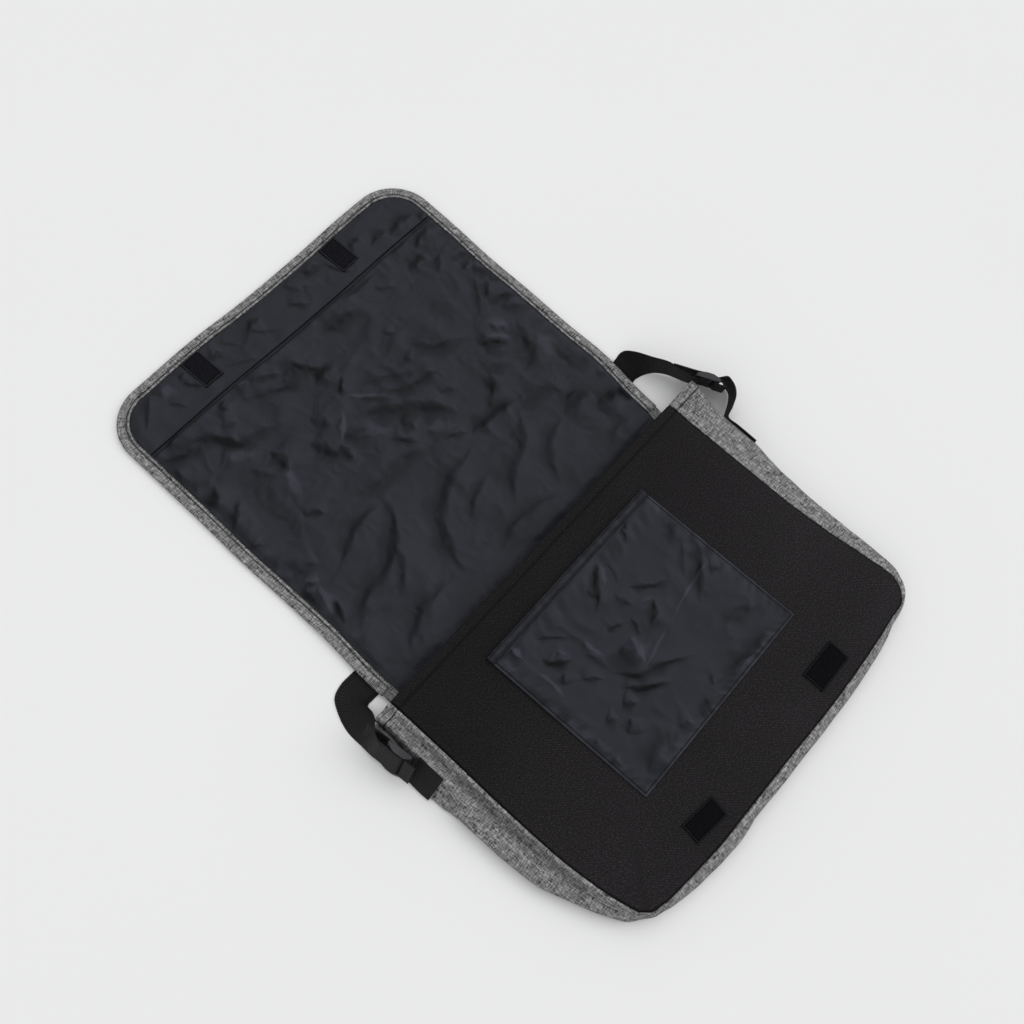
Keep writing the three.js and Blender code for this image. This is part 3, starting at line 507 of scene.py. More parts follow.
class Nodes:
    """Short calls for laying out a node tree."""

    def __init__(self, tree):
        self.tree = tree

    def feed(self, socket, value):
        if isinstance(value, bpy.types.NodeSocket):
            self.tree.links.new(value, socket)
        else:
            socket.default_value = value

    def node(self, kind, inputs=None, **settings):
        made = self.tree.nodes.new(kind)
        for key, value in settings.items():
            setattr(made, key, value)
        for key, value in (inputs or {}).items():
            self.feed(made.inputs[key], value)
        return made

    def math(self, operation, a, b=0.0, clamp=False):
        return self.node("ShaderNodeMath", {0: a, 1: b}, operation=operation, use_clamp=clamp).outputs[0]

    def plus(self, a, b):
        return self.math("ADD", a, b)

    def less(self, a, b):
        return self.math("SUBTRACT", a, b)

    def times(self, a, b, clamp=False):
        return self.math("MULTIPLY", a, b, clamp)

    def noise(self, vector, scale, detail=3.0, roughness=0.5):
        inputs = {"Vector": vector, "Scale": scale, "Detail": detail, "Roughness": roughness}
        return self.node("ShaderNodeTexNoise", inputs).outputs["Fac"]

    def random(self, a, b):
        """A number from 0 to 1 for each whole pair."""
        pair = self.node("ShaderNodeCombineXYZ", {"X": a, "Y": b}).outputs[0]
        return self.node("ShaderNodeTexWhiteNoise", {"Vector": pair}, noise_dimensions="2D").outputs["Value"]

    def span(self, value, low, high, to_low=0.0, to_high=1.0):
        made = self.node("ShaderNodeMapRange", {"Value": value, "From Min": low, "From Max": high,
                                                "To Min": to_low, "To Max": to_high})
        made.interpolation_type = "SMOOTHSTEP"
        return made.outputs["Result"]

    def blend(self, fac, a, b):
        made = self.tree.nodes.new("ShaderNodeMix")
        made.data_type = "RGBA"
        self.feed(made.inputs["Factor"], fac)
        self.feed(made.inputs[6], a)
        self.feed(made.inputs[7], b)
        return made.outputs[2]

    def split(self, vector):
        made = self.node("ShaderNodeSeparateXYZ", {"Vector": vector})
        return made.outputs[0], made.outputs[1]


def plain_weave_group():
    """Over-and-under weave of round threads: height, and how deep a point lies between threads."""
    tree, inputs, outputs = group(
        "plain_weave",
        [("Vector", "NodeSocketVector", None), ("Threads per metre", "NodeSocketFloat", 1600.0),
         ("Wander", "NodeSocketFloat", 0.3)],
        [("Height", "NodeSocketFloat"), ("Between", "NodeSocketFloat")],
    )
    n = Nodes(tree)
    drift = n.noise(inputs.outputs["Vector"], 90.0, 2.0)
    drift = n.times(n.less(drift, 0.5), inputs.outputs["Wander"])
    x, y = n.split(inputs.outputs["Vector"])
    turn = n.times(inputs.outputs["Threads per metre"], math.pi)
    px = n.plus(n.times(x, turn), n.times(drift, 6.0))
    py = n.plus(n.times(y, turn), n.times(drift, 6.0))
    ridge_x = n.math("ABSOLUTE", n.math("SINE", px))
    ridge_y = n.math("ABSOLUTE", n.math("SINE", py))
    over = n.times(n.math("SINE", px), n.math("SINE", py))
    over = n.span(over, -0.4, 0.4)
    height = n.plus(n.times(ridge_x, over),
                    n.times(ridge_y, n.less(1.0, over)))
    tree.links.new(height, outputs.inputs["Height"])
    between = n.less(1.0, n.times(ridge_x, ridge_y))
    tree.links.new(between, outputs.inputs["Between"])
    return tree


def uneven_shade_group():
    """Broad uneven shade of cloth that has been handled."""
    tree, inputs, outputs = group(
        "uneven_shade",
        [("Vector", "NodeSocketVector", None), ("Size", "NodeSocketFloat", 14.0),
         ("Strength", "NodeSocketFloat", 0.1)],
        [("Shade", "NodeSocketFloat")],
    )
    n = Nodes(tree)
    broad = n.noise(inputs.outputs["Vector"], inputs.outputs["Size"], 4.0, 0.55)
    shade = n.plus(1.0, n.times(n.less(broad, 0.5), inputs.outputs["Strength"]))
    tree.links.new(shade, outputs.inputs["Shade"])
    return tree


def fold_shade_group():
    """Painted shade and light from the cloth's fold_shade attribute: dark where cloth folds under or turns
    into a seam, light where a crease looks towards the light.
    """
    tree, inputs, outputs = group(
        "fold_shade",
        [("Darkest", "NodeSocketFloat", 0.4), ("Lightest", "NodeSocketFloat", 1.8)],
        [("Shade", "NodeSocketFloat")],
    )
    n = Nodes(tree)
    fold = n.node("ShaderNodeAttribute", attribute_name="fold_shade").outputs["Fac"]
    dark = n.math("MAXIMUM", fold, 0.0, True)
    light = n.times(n.math("MINIMUM", fold, 0.0), -1.0, True)
    down = n.times(dark, n.less(inputs.outputs["Darkest"], 1.0))
    up = n.times(light, n.less(inputs.outputs["Lightest"], 1.0))
    shade = n.plus(n.plus(1.0, down), up)
    tree.links.new(shade, outputs.inputs["Shade"])
    return tree


PLAIN_WEAVE = plain_weave_group()
UNEVEN_SHADE = uneven_shade_group()
FOLD_SHADE = fold_shade_group()


def new_material(name, roughness, specular):
    material = bpy.data.materials.new(name)
    material.use_nodes = True
    tree = material.node_tree
    shader = tree.nodes["Principled BSDF"]
    shader.inputs["Roughness"].default_value = roughness
    shader.inputs["Specular IOR Level"].default_value = specular
    n = Nodes(tree)
    vector = n.node("ShaderNodeAttribute", attribute_name="threads").outputs["Vector"]
    return material, shader, n, vector


def placed(n, tree, inputs):
    made = n.node("ShaderNodeGroup")
    made.node_tree = tree
    for key, value in inputs.items():
        n.feed(made.inputs[key], value)
    return made


def tint(n, colour, *shades):
    for shade in shades:
        made = n.node("ShaderNodeVectorMath", {0: colour}, operation="SCALE")
        n.feed(made.inputs["Scale"], shade)
        colour = made.outputs[0]
    return colour


def uneven(n, vector, size, strength):
    return placed(n, UNEVEN_SHADE, {"Vector": vector, "Size": size, "Strength": strength}).outputs["Shade"]


# Painted shade and painted light in a material's colour, read from the cloth's fold_shade attribute
def folded(n, darkest, lightest):
    return placed(n, FOLD_SHADE, {"Darkest": darkest, "Lightest": lightest}).outputs["Shade"]


def bump(n, shader, height, distance):
    made = n.node("ShaderNodeBump", {"Height": height, "Distance": distance, "Strength": 1.0})
    n.feed(shader.inputs["Normal"], made.outputs["Normal"])


def slubs(n, across, along, per_metre, length):
    """Random lightness of each length of yarn in one thread direction."""
    yarn = n.math("FLOOR", n.times(across, per_metre))
    start = n.times(n.random(yarn, 3.0), 31.0)
    dash = n.math("FLOOR", n.plus(n.times(along, 1.0 / length), start))
    return n.random(yarn, dash)


def heather_cloth():
    material, shader, n, vector = new_material("heather_cloth", 0.92, 0.2)
    wander = n.times(n.less(n.noise(vector, 60.0, 2.0), 0.5), 0.002)
    x, y = n.split(vector)
    x, y = n.plus(x, wander), n.plus(y, wander)
    warp, weft = slubs(n, x, y, 1500.0, 0.0046), slubs(n, y, x, 1350.0, 0.0036)
    both = n.times(n.plus(warp, weft), 0.5)
    body = n.blend(n.span(both, 0.1, 0.46), (0.034, 0.033, 0.033, 1), (0.232, 0.229, 0.231, 1))
    body = n.blend(n.span(both, 0.56, 0.95), body, (0.52, 0.52, 0.525, 1))
    weave = placed(n, PLAIN_WEAVE, {"Vector": vector, "Threads per metre": 1350.0})
    # Painted shade in the gaps between the threads
    body = n.blend(n.times(weave.outputs["Between"], 0.25), body, (0.05, 0.05, 0.052, 1))
    n.feed(shader.inputs["Base Color"], tint(n, body, uneven(n, vector, 22.0, 0.16), folded(n, 0.1, 1.35)))
    height = n.plus(weave.outputs["Height"], both)
    bump(n, shader, height, 0.00022)
    return material


def black_canvas():
    material, shader, n, vector = new_material("black_canvas", 0.75, 0.12)
    x, y = n.split(vector)
    twill = n.math("SINE", n.times(n.plus(x, y), 2200.0))
    weave = placed(n, PLAIN_WEAVE, {"Vector": vector, "Threads per metre": 820.0, "Wander": 0.15})
    fleck = n.span(n.noise(vector, 700.0, 2.0, 0.6), 0.4, 0.75)
    body = n.blend(n.times(fleck, 0.8), (0.0056, 0.0049, 0.0055, 1), (0.0256, 0.0231, 0.025, 1))
    body = n.blend(n.span(twill, -1.0, 1.0, 0.0, 0.55), body, (0.0045, 0.004, 0.0044, 1))
    n.feed(shader.inputs["Base Color"], tint(n, body, uneven(n, vector, 7.0, 0.9), folded(n, 0.2, 1.9)))
    height = n.plus(weave.outputs["Height"], n.times(twill, 0.5))
    bump(n, shader, height, 0.0002)
    return material


def slate_nylon():
    material, shader, n, vector = new_material("slate_nylon", 0.36, 0.11)
    weave = placed(n, PLAIN_WEAVE, {"Vector": vector, "Threads per metre": 1300.0, "Wander": 0.1})
    x, y = n.split(vector)
    drift = n.times(n.noise(vector, 40.0), 3.0)
    ribs = n.math("SINE", n.plus(n.times(x, 2400.0), drift))
    cross = n.math("SINE", n.times(y, 2900.0))
    grain = n.plus(n.times(ribs, 0.6), n.times(cross, 0.4))
    body = n.blend(n.span(grain, -1.0, 1.0), (0.0112, 0.012, 0.0158, 1), (0.0158, 0.0168, 0.0218, 1))
    n.feed(shader.inputs["Base Color"], tint(n, body, uneven(n, vector, 22.0, 0.3), folded(n, 0.22, 2.9)))
    small = n.noise(vector, 150.0, 3.0, 0.5)
    height = n.plus(n.times(weave.outputs["Height"], 0.05), small)
    bump(n, shader, height, 0.0005)
    return material


def black_webbing():
    material, shader, n, vector = new_material("black_webbing", 0.6, 0.2)
    x, y = n.split(vector)
    drift = n.times(n.less(n.noise(vector, 300.0, 1.0), 0.5), 0.9)
    rib = n.math("SINE", n.plus(n.times(y, 2 * math.pi / 0.002), drift))
    yarn = n.math("SINE", n.times(x, 2 * math.pi / 0.0011))
    # Two grooves near the edges, dipped in the bump and darkened with painted shade
    off = n.math("ABSOLUTE", n.less(n.math("ABSOLUTE", x), 0.0122))
    groove = n.span(off, 0.0, 0.0008, 1.0, 0.0)
    body = n.blend(n.span(rib, -1.0, 1.0), (0.0028, 0.0028, 0.0031, 1), (0.0138, 0.0136, 0.0143, 1))
    body = n.blend(n.times(groove, 0.85), body, (0.002, 0.002, 0.002, 1))
    n.feed(shader.inputs["Base Color"], tint(n, body, uneven(n, vector, 40.0, 0.4)))
    height = n.plus(rib, n.times(yarn, 0.35))
    height = n.less(height, n.times(groove, 1.6))
    bump(n, shader, height, 0.0003)
    return material


def tape(name, pile, dark, light):
    """Hook or loop tape: a pile of the given size over a dark ground."""
    material, shader, n, vector = new_material(name, 0.95, 0.04)
    fuzz = n.noise(vector, pile, 2.0, 0.7)
    body = n.blend(n.span(fuzz, 0.4, 0.75), dark, light)
    n.feed(shader.inputs["Base Color"], tint(n, body, uneven(n, vector, 60.0, 0.4), folded(n, 0.4, 7.0)))
    bump(n, shader, fuzz, 0.0009)
    return material


def moulded_plastic():
    material, shader, n, _ = new_material("moulded_plastic", 0.36, 0.3)
    vector = n.node("ShaderNodeTexCoord").outputs["Object"]
    grain = n.noise(vector, 2500.0, 2.0)
    mottle = n.span(n.noise(vector, 60.0, 3.0), 0.35, 0.7)
    body = n.blend(mottle, (0.021, 0.021, 0.025, 1), (0.032, 0.032, 0.037, 1))
    n.feed(shader.inputs["Base Color"], body)
    n.feed(shader.inputs["Roughness"], n.span(n.noise(vector, 300.0, 3.0), 0.3, 0.7, 0.3, 0.46))
    bump(n, shader, grain, 0.00004)
    return material


def sewing_thread(name, colour):
    material, shader, n, _ = new_material(name, 0.7, 0.12)
    vector = n.node("ShaderNodeTexCoord").outputs["Object"]
    twist = n.noise(vector, 3000.0, 1.0)
    dark = (colour[0] * 0.5, colour[1] * 0.5, colour[2] * 0.5, 1)
    n.feed(shader.inputs["Base Color"], n.blend(n.span(twist, 0.3, 0.7), dark, colour))
    bump(n, shader, twist, 0.00006)
    return material


HEATHER = heather_cloth()
CANVAS = black_canvas()
NYLON = slate_nylon()
WEBBING = black_webbing()
LOOP_TAPE = tape("loop_tape_pile", 1500.0, (0.0022, 0.0022, 0.003, 1), (0.013, 0.013, 0.0145, 1))
HOOK_TAPE = tape("hook_tape_pile", 1100.0, (0.0042, 0.0042, 0.0058, 1), (0.022, 0.022, 0.0265, 1))
PLASTIC = moulded_plastic()
DARK_THREAD = sewing_thread("dark_thread", (0.011, 0.011, 0.012, 1))
BLACK_THREAD = sewing_thread("black_thread", (0.0035, 0.0035, 0.004, 1))


# Camera, light and floor

CAMERA_HEIGHT = 1081.0
CAMERA_FOOT = (-396.7, -163.3)
CAMERA_AZIMUTH = math.radians(63.6)
CAMERA_ELEVATION = math.radians(66.8)
CAMERA_ROLL = math.radians(15.52)
FOCAL_PIXELS = 1263.7
FRAME_PIXELS = 1024
SENSOR = 36.0


def in_layout(u, v, z):
    c, s = math.cos(CAMERA_AZIMUTH), math.sin(CAMERA_AZIMUTH)
    return Vector((u * c + v * s, -u * s + v * c, z))


def place_camera():
    data = bpy.data.cameras.new("camera")
    data.sensor_width = SENSOR
    data.lens = FOCAL_PIXELS / FRAME_PIXELS * SENSOR
    camera = bpy.data.objects.new("camera", data)
    bpy.context.collection.objects.link(camera)
    level = in_layout(1, 0, 0)
    rise = in_layout(0, math.sin(CAMERA_ELEVATION), math.cos(CAMERA_ELEVATION))
    look = in_layout(0, math.cos(CAMERA_ELEVATION), -math.sin(CAMERA_ELEVATION))
    c, s = math.cos(CAMERA_ROLL), math.sin(CAMERA_ROLL)
    right = level * c + rise * s
    up = rise * c - level * s
    turn = Matrix((right, up, -look)).transposed().to_4x4()
    spot = (np.array([CAMERA_FOOT[0], CAMERA_FOOT[1], CAMERA_HEIGHT]) + SHIFT) * MM
    camera.matrix_world = Matrix.Translation(spot.tolist()) @ turn
    data.clip_start = 0.01
    bpy.context.scene.camera = camera


SKY_STRENGTH = 0.62


def soft_sun(name, direction, spread, strength):
    """A wide soft light from far off, even over the whole floor."""
    data = bpy.data.lights.new(name, "SUN")
    data.angle = math.radians(spread)
    data.energy = strength
    light = bpy.data.objects.new(name, data)
    bpy.context.collection.objects.link(light)
    light.matrix_world = Vector(direction).to_track_quat("Z", "Y").to_matrix().to_4x4()


def light_the_studio():
    world = bpy.data.worlds.new("studio")
    bpy.context.scene.world = world
    world.use_nodes = True
    backdrop = world.node_tree.nodes["Background"]
    backdrop.inputs["Color"].default_value = (0.93, 0.935, 0.94, 1)
    backdrop.inputs["Strength"].default_value = SKY_STRENGTH
    soft_sun("overhead", (0.32, 0.12, 0.94), 60, 0.8)
    soft_sun("left_fill", (-0.7, -0.15, 0.7), 60, 0.4)
    soft_sun("right_side", (0.6, -0.55, 0.58), 36, 0.62)
    bpy.context.scene.view_settings.view_transform = "Standard"


FLOOR_REACH = 6.0


def lay_floor():
    mesh = bpy.data.meshes.new("floor")
    corners = [(x * FLOOR_REACH, y * FLOOR_REACH, 0) for x, y in ((-1, -1), (1, -1), (1, 1), (-1, 1))]
    mesh.from_pydata(corners, [], [(0, 1, 2, 3)])
    floor = bpy.data.objects.new("floor", mesh)
    bpy.context.collection.objects.link(floor)
    material = bpy.data.materials.new("floor_paper")
    material.use_nodes = True
    n = Nodes(material.node_tree)
    shader = material.node_tree.nodes["Principled BSDF"]
    shader.inputs["Roughness"].default_value = 0.9
    shader.inputs["Specular IOR Level"].default_value = 0.1
    vector = n.node("ShaderNodeTexCoord").outputs["Object"]
    mottle = n.noise(vector, 3.0, 2.0)
    n.feed(shader.inputs["Base Color"], n.blend(mottle, (0.8, 0.8, 0.8, 1), (0.815, 0.815, 0.815, 1)))
    mesh.materials.append(material)


place_camera()
light_the_studio()
lay_floor()


# Panels and gusset

def spaced(length, step):
    return max(2, int(round(length / step)))


def edge_stops(count, dense, share):
    """Stops from 0 to 1 that crowd towards both ends: dense stops in the first and last share."""
    ends = share * (1 - np.cos(np.linspace(0, math.pi / 2, dense + 1)))
    middle = np.linspace(share, 1 - share, count + 1)[1:-1]
    return np.concatenate([ends, middle, (1 - ends)[::-1]])


def panel_coordinates(across, along):
    """x and y of a place on a panel, drawn in where its corners are rounded."""
    y = -PANEL_LENGTH * along
    half = HALF - corner_inset(PANEL_CORNER, PANEL_LENGTH + y)
    return (2 * across - 1) * half, y + 0 * across


def seam_share(y):
    """Share of the seam path at which its right side reaches this y."""
    past = np.clip((-y - SIDE) / PANEL_CORNER, 0, 1)
    return (np.minimum(-y, SIDE) + PANEL_CORNER * np.arcsin(past)) / SEAM_PATH


def seam_shift(share, column):
    """Where the real seam runs beside the rounded outline."""
    _, _, ox, oy = seam_at(share)
    out = gusset_row(share, column) * GUSSET_REACH
    return ox * out, oy * out


def panel_shift(x, y, column):
    """Shift of a panel's point that follows from its seam's way round the outline."""
    half = HALF - corner_inset(PANEL_CORNER, PANEL_LENGTH + y)
    across = np.clip((x / half + 1) / 2, 0, 1)
    right = seam_share(y)
    right_x, right_y = seam_shift(right, column)
    left_x, left_y = seam_shift(1 - right, column)
    low_x, low_y = seam_shift(mix(1 - right, right, across), column)
    near_bottom = ease((-y / PANEL_LENGTH - 0.6) / 0.4)
    return (mix(mix(left_x, right_x, across), low_x, near_bottom),
            mix(mix(left_y, right_y, across), low_y, near_bottom))


def front_surface(x, y):
    """Height of the front panel at a real place, found back through its shift."""
    px, py = x, y
    for _ in range(3):
        dx, dy = panel_shift(px, np.clip(py, -PANEL_LENGTH, 0), "seam_out")
        px, py = x - dx, y - dy
    return front_height(px, py)


def panel_edge_distance(x, y):
    """Distance in from the panel's three sewn edges."""
    px, py = np.abs(x) - (HALF - PANEL_CORNER), -y - (PANEL_LENGTH - PANEL_CORNER)
    outside = np.hypot(np.maximum(px, 0), np.maximum(py, 0))
    return PANEL_CORNER - outside - np.minimum(np.maximum(px, py), 0)


def front_dents(x, y):
    """Broad unevenness of the padded panel, calm near its edges."""
    broad = 0.7 * cloud(x, y, 85, 5) + 0.25 * cloud(x, y, 34, 6)
    calm = ease(panel_edge_distance(x, y) / 30) * ease(-y / 30)
    return broad * calm


CROWDED_EDGE = 12.0
CROWDED_STOPS = 8


def panel_shell(name, top, shade, thickness, step, column):
    along, across = (
        edge_stops(spaced(size - 2 * CROWDED_EDGE, step), CROWDED_STOPS, CROWDED_EDGE / size)
        for size in (PANEL_LENGTH, PANEL_WIDTH)
    )
    across, along = np.meshgrid(across, along)
    x, y = panel_coordinates(across, along)
    dx, dy = panel_shift(x, y, column)
    outer = np.stack([x + dx, y + dy, top(x, y)], 2)
    inner = outer - np.array([0, 0, thickness])
    return shell(name, outer, inner, np.stack([x, y], 2), shade(x, y))


SEAM_ROLL = 2.6
SEAM_DROP = 1.5
SEAM_DARK = 1.6
MOUTH_STITCH = 9.5
MOUTH_ROLL = 0.9
MOUTH_ROLL_RUN = 1.6
# Painted light on the canvas, growing towards the bottom and towards the right
PAINTED_LIGHT_LOW = 0.78
PAINTED_LIGHT_RIGHT = 0.2


def front_top(x, y):
    """Upper face of the front panel, rolled down into the seam and at the folded mouth edge."""
    into = np.clip(panel_edge_distance(x, y) / SEAM_ROLL, 0, 1)
    roll = SEAM_DROP * (1 - np.sqrt(1 - (1 - into) ** 2))
    mouth = MOUTH_ROLL * (1 - ease(-y / MOUTH_ROLL_RUN)) ** 2
    channel = 0.4 * bell(y + MOUTH_STITCH, 1.0)
    return front_height(x, y) + front_dents(x, y) - roll - mouth - channel


def front_shade(x, y):
    """Painted shade in the seam and along the mouth's sunk stitch line, a lighter line along the top of the
    seam's roll, and painted light towards the bottom and the right.
    """
    inward = panel_edge_distance(x, y)
    # Painted shade where the cloth rolls down into the seam
    seam = ease(1 - inward / SEAM_DARK)
    # A lighter line along the top of the seam's roll
    roll_crest_line = 0.35 * bell(inward - SEAM_ROLL, 0.8)
    # Painted shade in the sunk stitch line along the mouth
    stitched = 0.7 * bell(y + MOUTH_STITCH, 0.9)
    # Painted light, a sheen that grows towards the bottom and the right
    painted_light = PAINTED_LIGHT_LOW * ease((-y / PANEL_LENGTH - 0.05) / 0.7) + PAINTED_LIGHT_RIGHT * ease(x / HALF)
    return seam + stitched - roll_crest_line - painted_light * (1 - ease(stitched))


def make_panels():
    front = panel_shell("front_canvas", front_top, front_shade, SHELL_WALL, 2.4, "seam_out")
    finish_piece(front, CANVAS, ["front_panel"])

    level = lambda x, y: SHELL_WALL + 0 * x
    plain = lambda x, y: 0 * x
    back = panel_shell("back_cloth", level, plain, SHELL_WALL, 6.0, "back_out")
    finish_piece(back, HEATHER, ["back_panel"])


GUSSET_FOLDS = [
    # share along, share up, length, height, width across
    (0.055, 0.30, 26, 0.8, 7), (0.12, 0.42, 40, 1.2, 8), (0.19, 0.35, 46, 1.0, 7),
    (0.25, 0.45, 30, 1.0, 6), (0.44, 0.4, 40, 0.7, 5), (0.56, 0.45, 44, 0.7, 5),
    (0.72, 0.3, 30, 1.2, 6), (0.78, 0.5, 60, 1.0, 8), (0.86, 0.52, 50, 1.1, 8),
    (0.93, 0.3, 30, 0.8, 6),
]


GUSSET_HEM = 9.5
HEM_STEP = 0.6
HEM_SINK = 0.3
GUSSET_ROWS = 721
GUSSET_STOPS = 61
# Where each anchor is sewn down the cloth stays flat: the middle of that stretch and half its length
ANCHOR_RIGHT = (0.07, 0.035)
ANCHOR_LEFT = (0.932, 0.03)
ANCHOR_FADE = 0.012


def make_gusset():
    at_hem = np.linspace(GUSSET_HEM - 3, GUSSET_HEM + 3, 16) / SEAM_PATH
    shares = np.unique(np.concatenate([np.linspace(0, 1, GUSSET_ROWS), at_hem, 1 - at_hem]))
    across = np.linspace(0, 1, GUSSET_STOPS)
    grid = gusset_grid(across, shares)
    normals = grid_normals(grid)
    _, _, ox, oy = seam_at(shares)
    if (normals[:, GUSSET_STOPS // 2, :2] * np.stack([ox, oy], 1)).sum() < 0:
        normals = -normals
    girth = np.concatenate([np.zeros((len(shares), 1)),
                            np.cumsum(np.linalg.norm(np.diff(grid, axis=1), axis=2), 1)], 1)
    length = shares[:, None] * SEAM_PATH
    held = ease(across / 0.08) * ease((1 - across) / 0.12)
    sewn_right, sewn_left = (
        ease((half - np.abs(shares - middle)) / ANCHOR_FADE)[:, None]
        for middle, half in (ANCHOR_RIGHT, ANCHOR_LEFT)
    )
    wave = 0.55 * cloud(length, girth * 2.2, 30, 11) + 0.3 * cloud(length, girth * 2, 13, 12)
    for at, up, long, height, wide in GUSSET_FOLDS:
        a = (length - at * SEAM_PATH) / long
        b = (girth - up * girth[:, -1:]) / wide
        wave = wave + height * np.exp(-a * a - b * b) * np.sign(math.sin(at * 97))
    wave = wave * held * (1 - sewn_right) * (1 - sewn_left)
    pucker = 0.3 * cloud(length, girth * 0.4, 6.5, 13) * bell(girth, 7)
    from_mouth = np.minimum(length, SEAM_PATH - length)
    hem = HEM_STEP * (1 - ease(from_mouth - GUSSET_HEM)) * ease(across / 0.06) * ease((1 - across) / 0.2)
    sewn = bell(from_mouth - GUSSET_HEM, 0.8)
    grid = grid + normals * (wave + pucker * ease(across / 0.03) + hem - HEM_SINK * sewn)[:, :, None]
    # The cloth turns down into the seam with the front panel
    into = np.clip(girth / SEAM_ROLL, 0, 1)
    grid[:, :, 2] -= SEAM_DROP * (1 - np.sqrt(1 - (1 - into) ** 2))
    grid[:, :, 2] = np.maximum(grid[:, :, 2], 0)
    inner = grid - normals * SHELL_WALL
    inner[:, :, 2] = np.maximum(inner[:, :, 2], 0.05)
    threads = np.stack([girth, length + 0 * girth], 2)
    # Painted shade where the cloth turns into the seam and in the sunk hem stitch line, and painted light on
    # the ridge beside the seam
    stitched = bell(from_mouth - GUSSET_HEM, 0.55)
    shade = ease(1 - girth / 1.1) + 1.1 * stitched - 0.35 * bell(girth - 3.5, 2.2)
    gusset = shell("gusset_cloth", grid, inner, threads, shade)
    finish_piece(gusset, HEATHER, ["gusset"])
    return shares, grid, normals


make_panels()
GUSSET_SHARES, GUSSET_FACE, GUSSET_NORMALS = make_gusset()


# Pocket

def pocket_height(x, y):
    across = (x - POCKET_SHIFT) / POCKET_WIDTH + 0.5
    along = (-y - POCKET_FROM_MOUTH) / POCKET_LENGTH
    side = np.sin(math.pi * np.clip(across, 0, 1)) ** 0.6
    puff = POCKET_PUFF * side * ease(1 - along) * ease(1.1 - along)
    return front_surface(x, y) + GAP + POCKET_WALL + puff


POCKET_FOLDS = [
    # points x, y along the fold, then its half width and the strength of its painted shade (below nothing,
    # painted light)
    (10, -200, 30, -202, 45, -204, 65, -204, 88, -204, 5.1, 0.55),
    (-49, -123, -39, -138, -28, -147, -7, -156, 17, -173, 3.2, 0.85), (23, -49, 6, -63, -21, -83, 2.7, 0.8),
    (27, -57, 24, -67, 16, -80, 1.1, 0.4), (62, -42, 58, -52, 50, -62, 1.4, 0.6),
    (71, -41, 67, -46, 63, -51, 1.4, 0.6), (101, -72, 91, -82, 81, -89, 3.4, 0.5),
    (93, -95, 79, -106, 63, -119, 1.9, 0.4), (102, -106, 82, -121, 54, -145, 3.4, 0.7),
    (20, -84, 34, -98, 54, -113, 2.3, 0.7), (30, -107, 20, -117, 2, -127, 2.8, 0.8),
    (-22, -113, -29, -128, -26, -144, 7.6, 0.5), (-56, -140, -40, -154, -16, -170, 3.0, 0.9),
    (-64, -148, -61, -153, -53, -159, 2.8, 0.6), (-87, -146, -84, -152, -76, -156, 2.8, 0.5),
    (-68, -161, -74, -166, -80, -171, 2.8, 0.6), (-97, -202, -81, -195, -62, -193, 5.7, 0.4),
    (-49, -197, -43, -202, -34, -206, 3.8, 0.3), (-11, -198, -15, -205, -25, -204, 3.8, 0.4),
    (54, -170, 73, -174, 96, -182, 4.8, 0.5), (85, -129, 89, -133, 98, -135, 2.3, 0.5),
    (-81, -72, -76, -84, -64, -93, 2.7, 0.9), (-74, -53, -61, -65, -47, -81, 1.5, 0.5),
    (-77, -93, -83, -97, -87, -102, 1.9, 0.6), (-72, -108, -65, -116, -56, -124, 1.9, 0.5),
    (-115, -154, -107, -152, -100, -151, 1.9, 0.5), (-111, -176, -105, -173, -99, -174, 1.9, 0.5),
    (11, -190, 5, -195, 2, -199, 1.4, 0.5), (-53, -96, -49, -109, -46, -121, 1.9, 0.4),
    (5, -81, 7, -90, 12, -102, 2.8, 0.4), (1, -104, -3, -114, -8, -122, 2.1, 0.5),
    (-22, -99, -15, -101, -6, -103, 1.5, 0.5), (-6, -60, -7, -66, -7, -71, 1.9, 0.3),
    (-73, -193, -61, -198, -49, -197, 4.8, 0.3), (-92, -37, -91, -49, -92, -61, 1.7, -0.9),
    (-93, -74, -92, -91, -93, -111, 1.5, -0.6), (-45, -88, -45, -99, -42, -113, 1.5, -0.9),
    (-11, -114, -15, -127, -21, -142, 1.9, -0.9), (-30, -146, -7, -140, 21, -136, 0.9, -0.5),
    (21, -136, 58, -128, 99, -123, 0.9, -0.5), (-68, -77, -66, -82, -64, -89, 1.1, -0.7),
    (12, -208, 38, -210, 87, -212, 2.8, -0.5), (26, -51, 17, -62, 7, -73, 1.5, -0.5),
    (18, -104, 25, -106, 31, -108, 0.9, -0.5),
]


def pocket_edge(x, y):
    left = x - (POCKET_SHIFT - POCKET_WIDTH / 2)
    right = POCKET_SHIFT + POCKET_WIDTH / 2 - x
    bottom = y + POCKET_FROM_MOUTH + POCKET_LENGTH
    return np.minimum(np.minimum(left, right), bottom)


POCKET_STITCH = 2.4
POCKET_RIM = 0.8
POCKET_LOW = 0.35


def pocket_rise(x, y):
    """Height of the pocket's loose folds over its smooth shape."""
    loose = ease(pocket_edge(x, y) / 7) * ease((-y - POCKET_FROM_MOUTH - POCKET_HEM) / 5)
    broad = 1.1 * crumple(x, y, 40, 21) + 0.6 * crumple(x, y, 17, 24)
    return (creases(x, y, POCKET_FOLDS)[0] + broad - 0.4) * loose


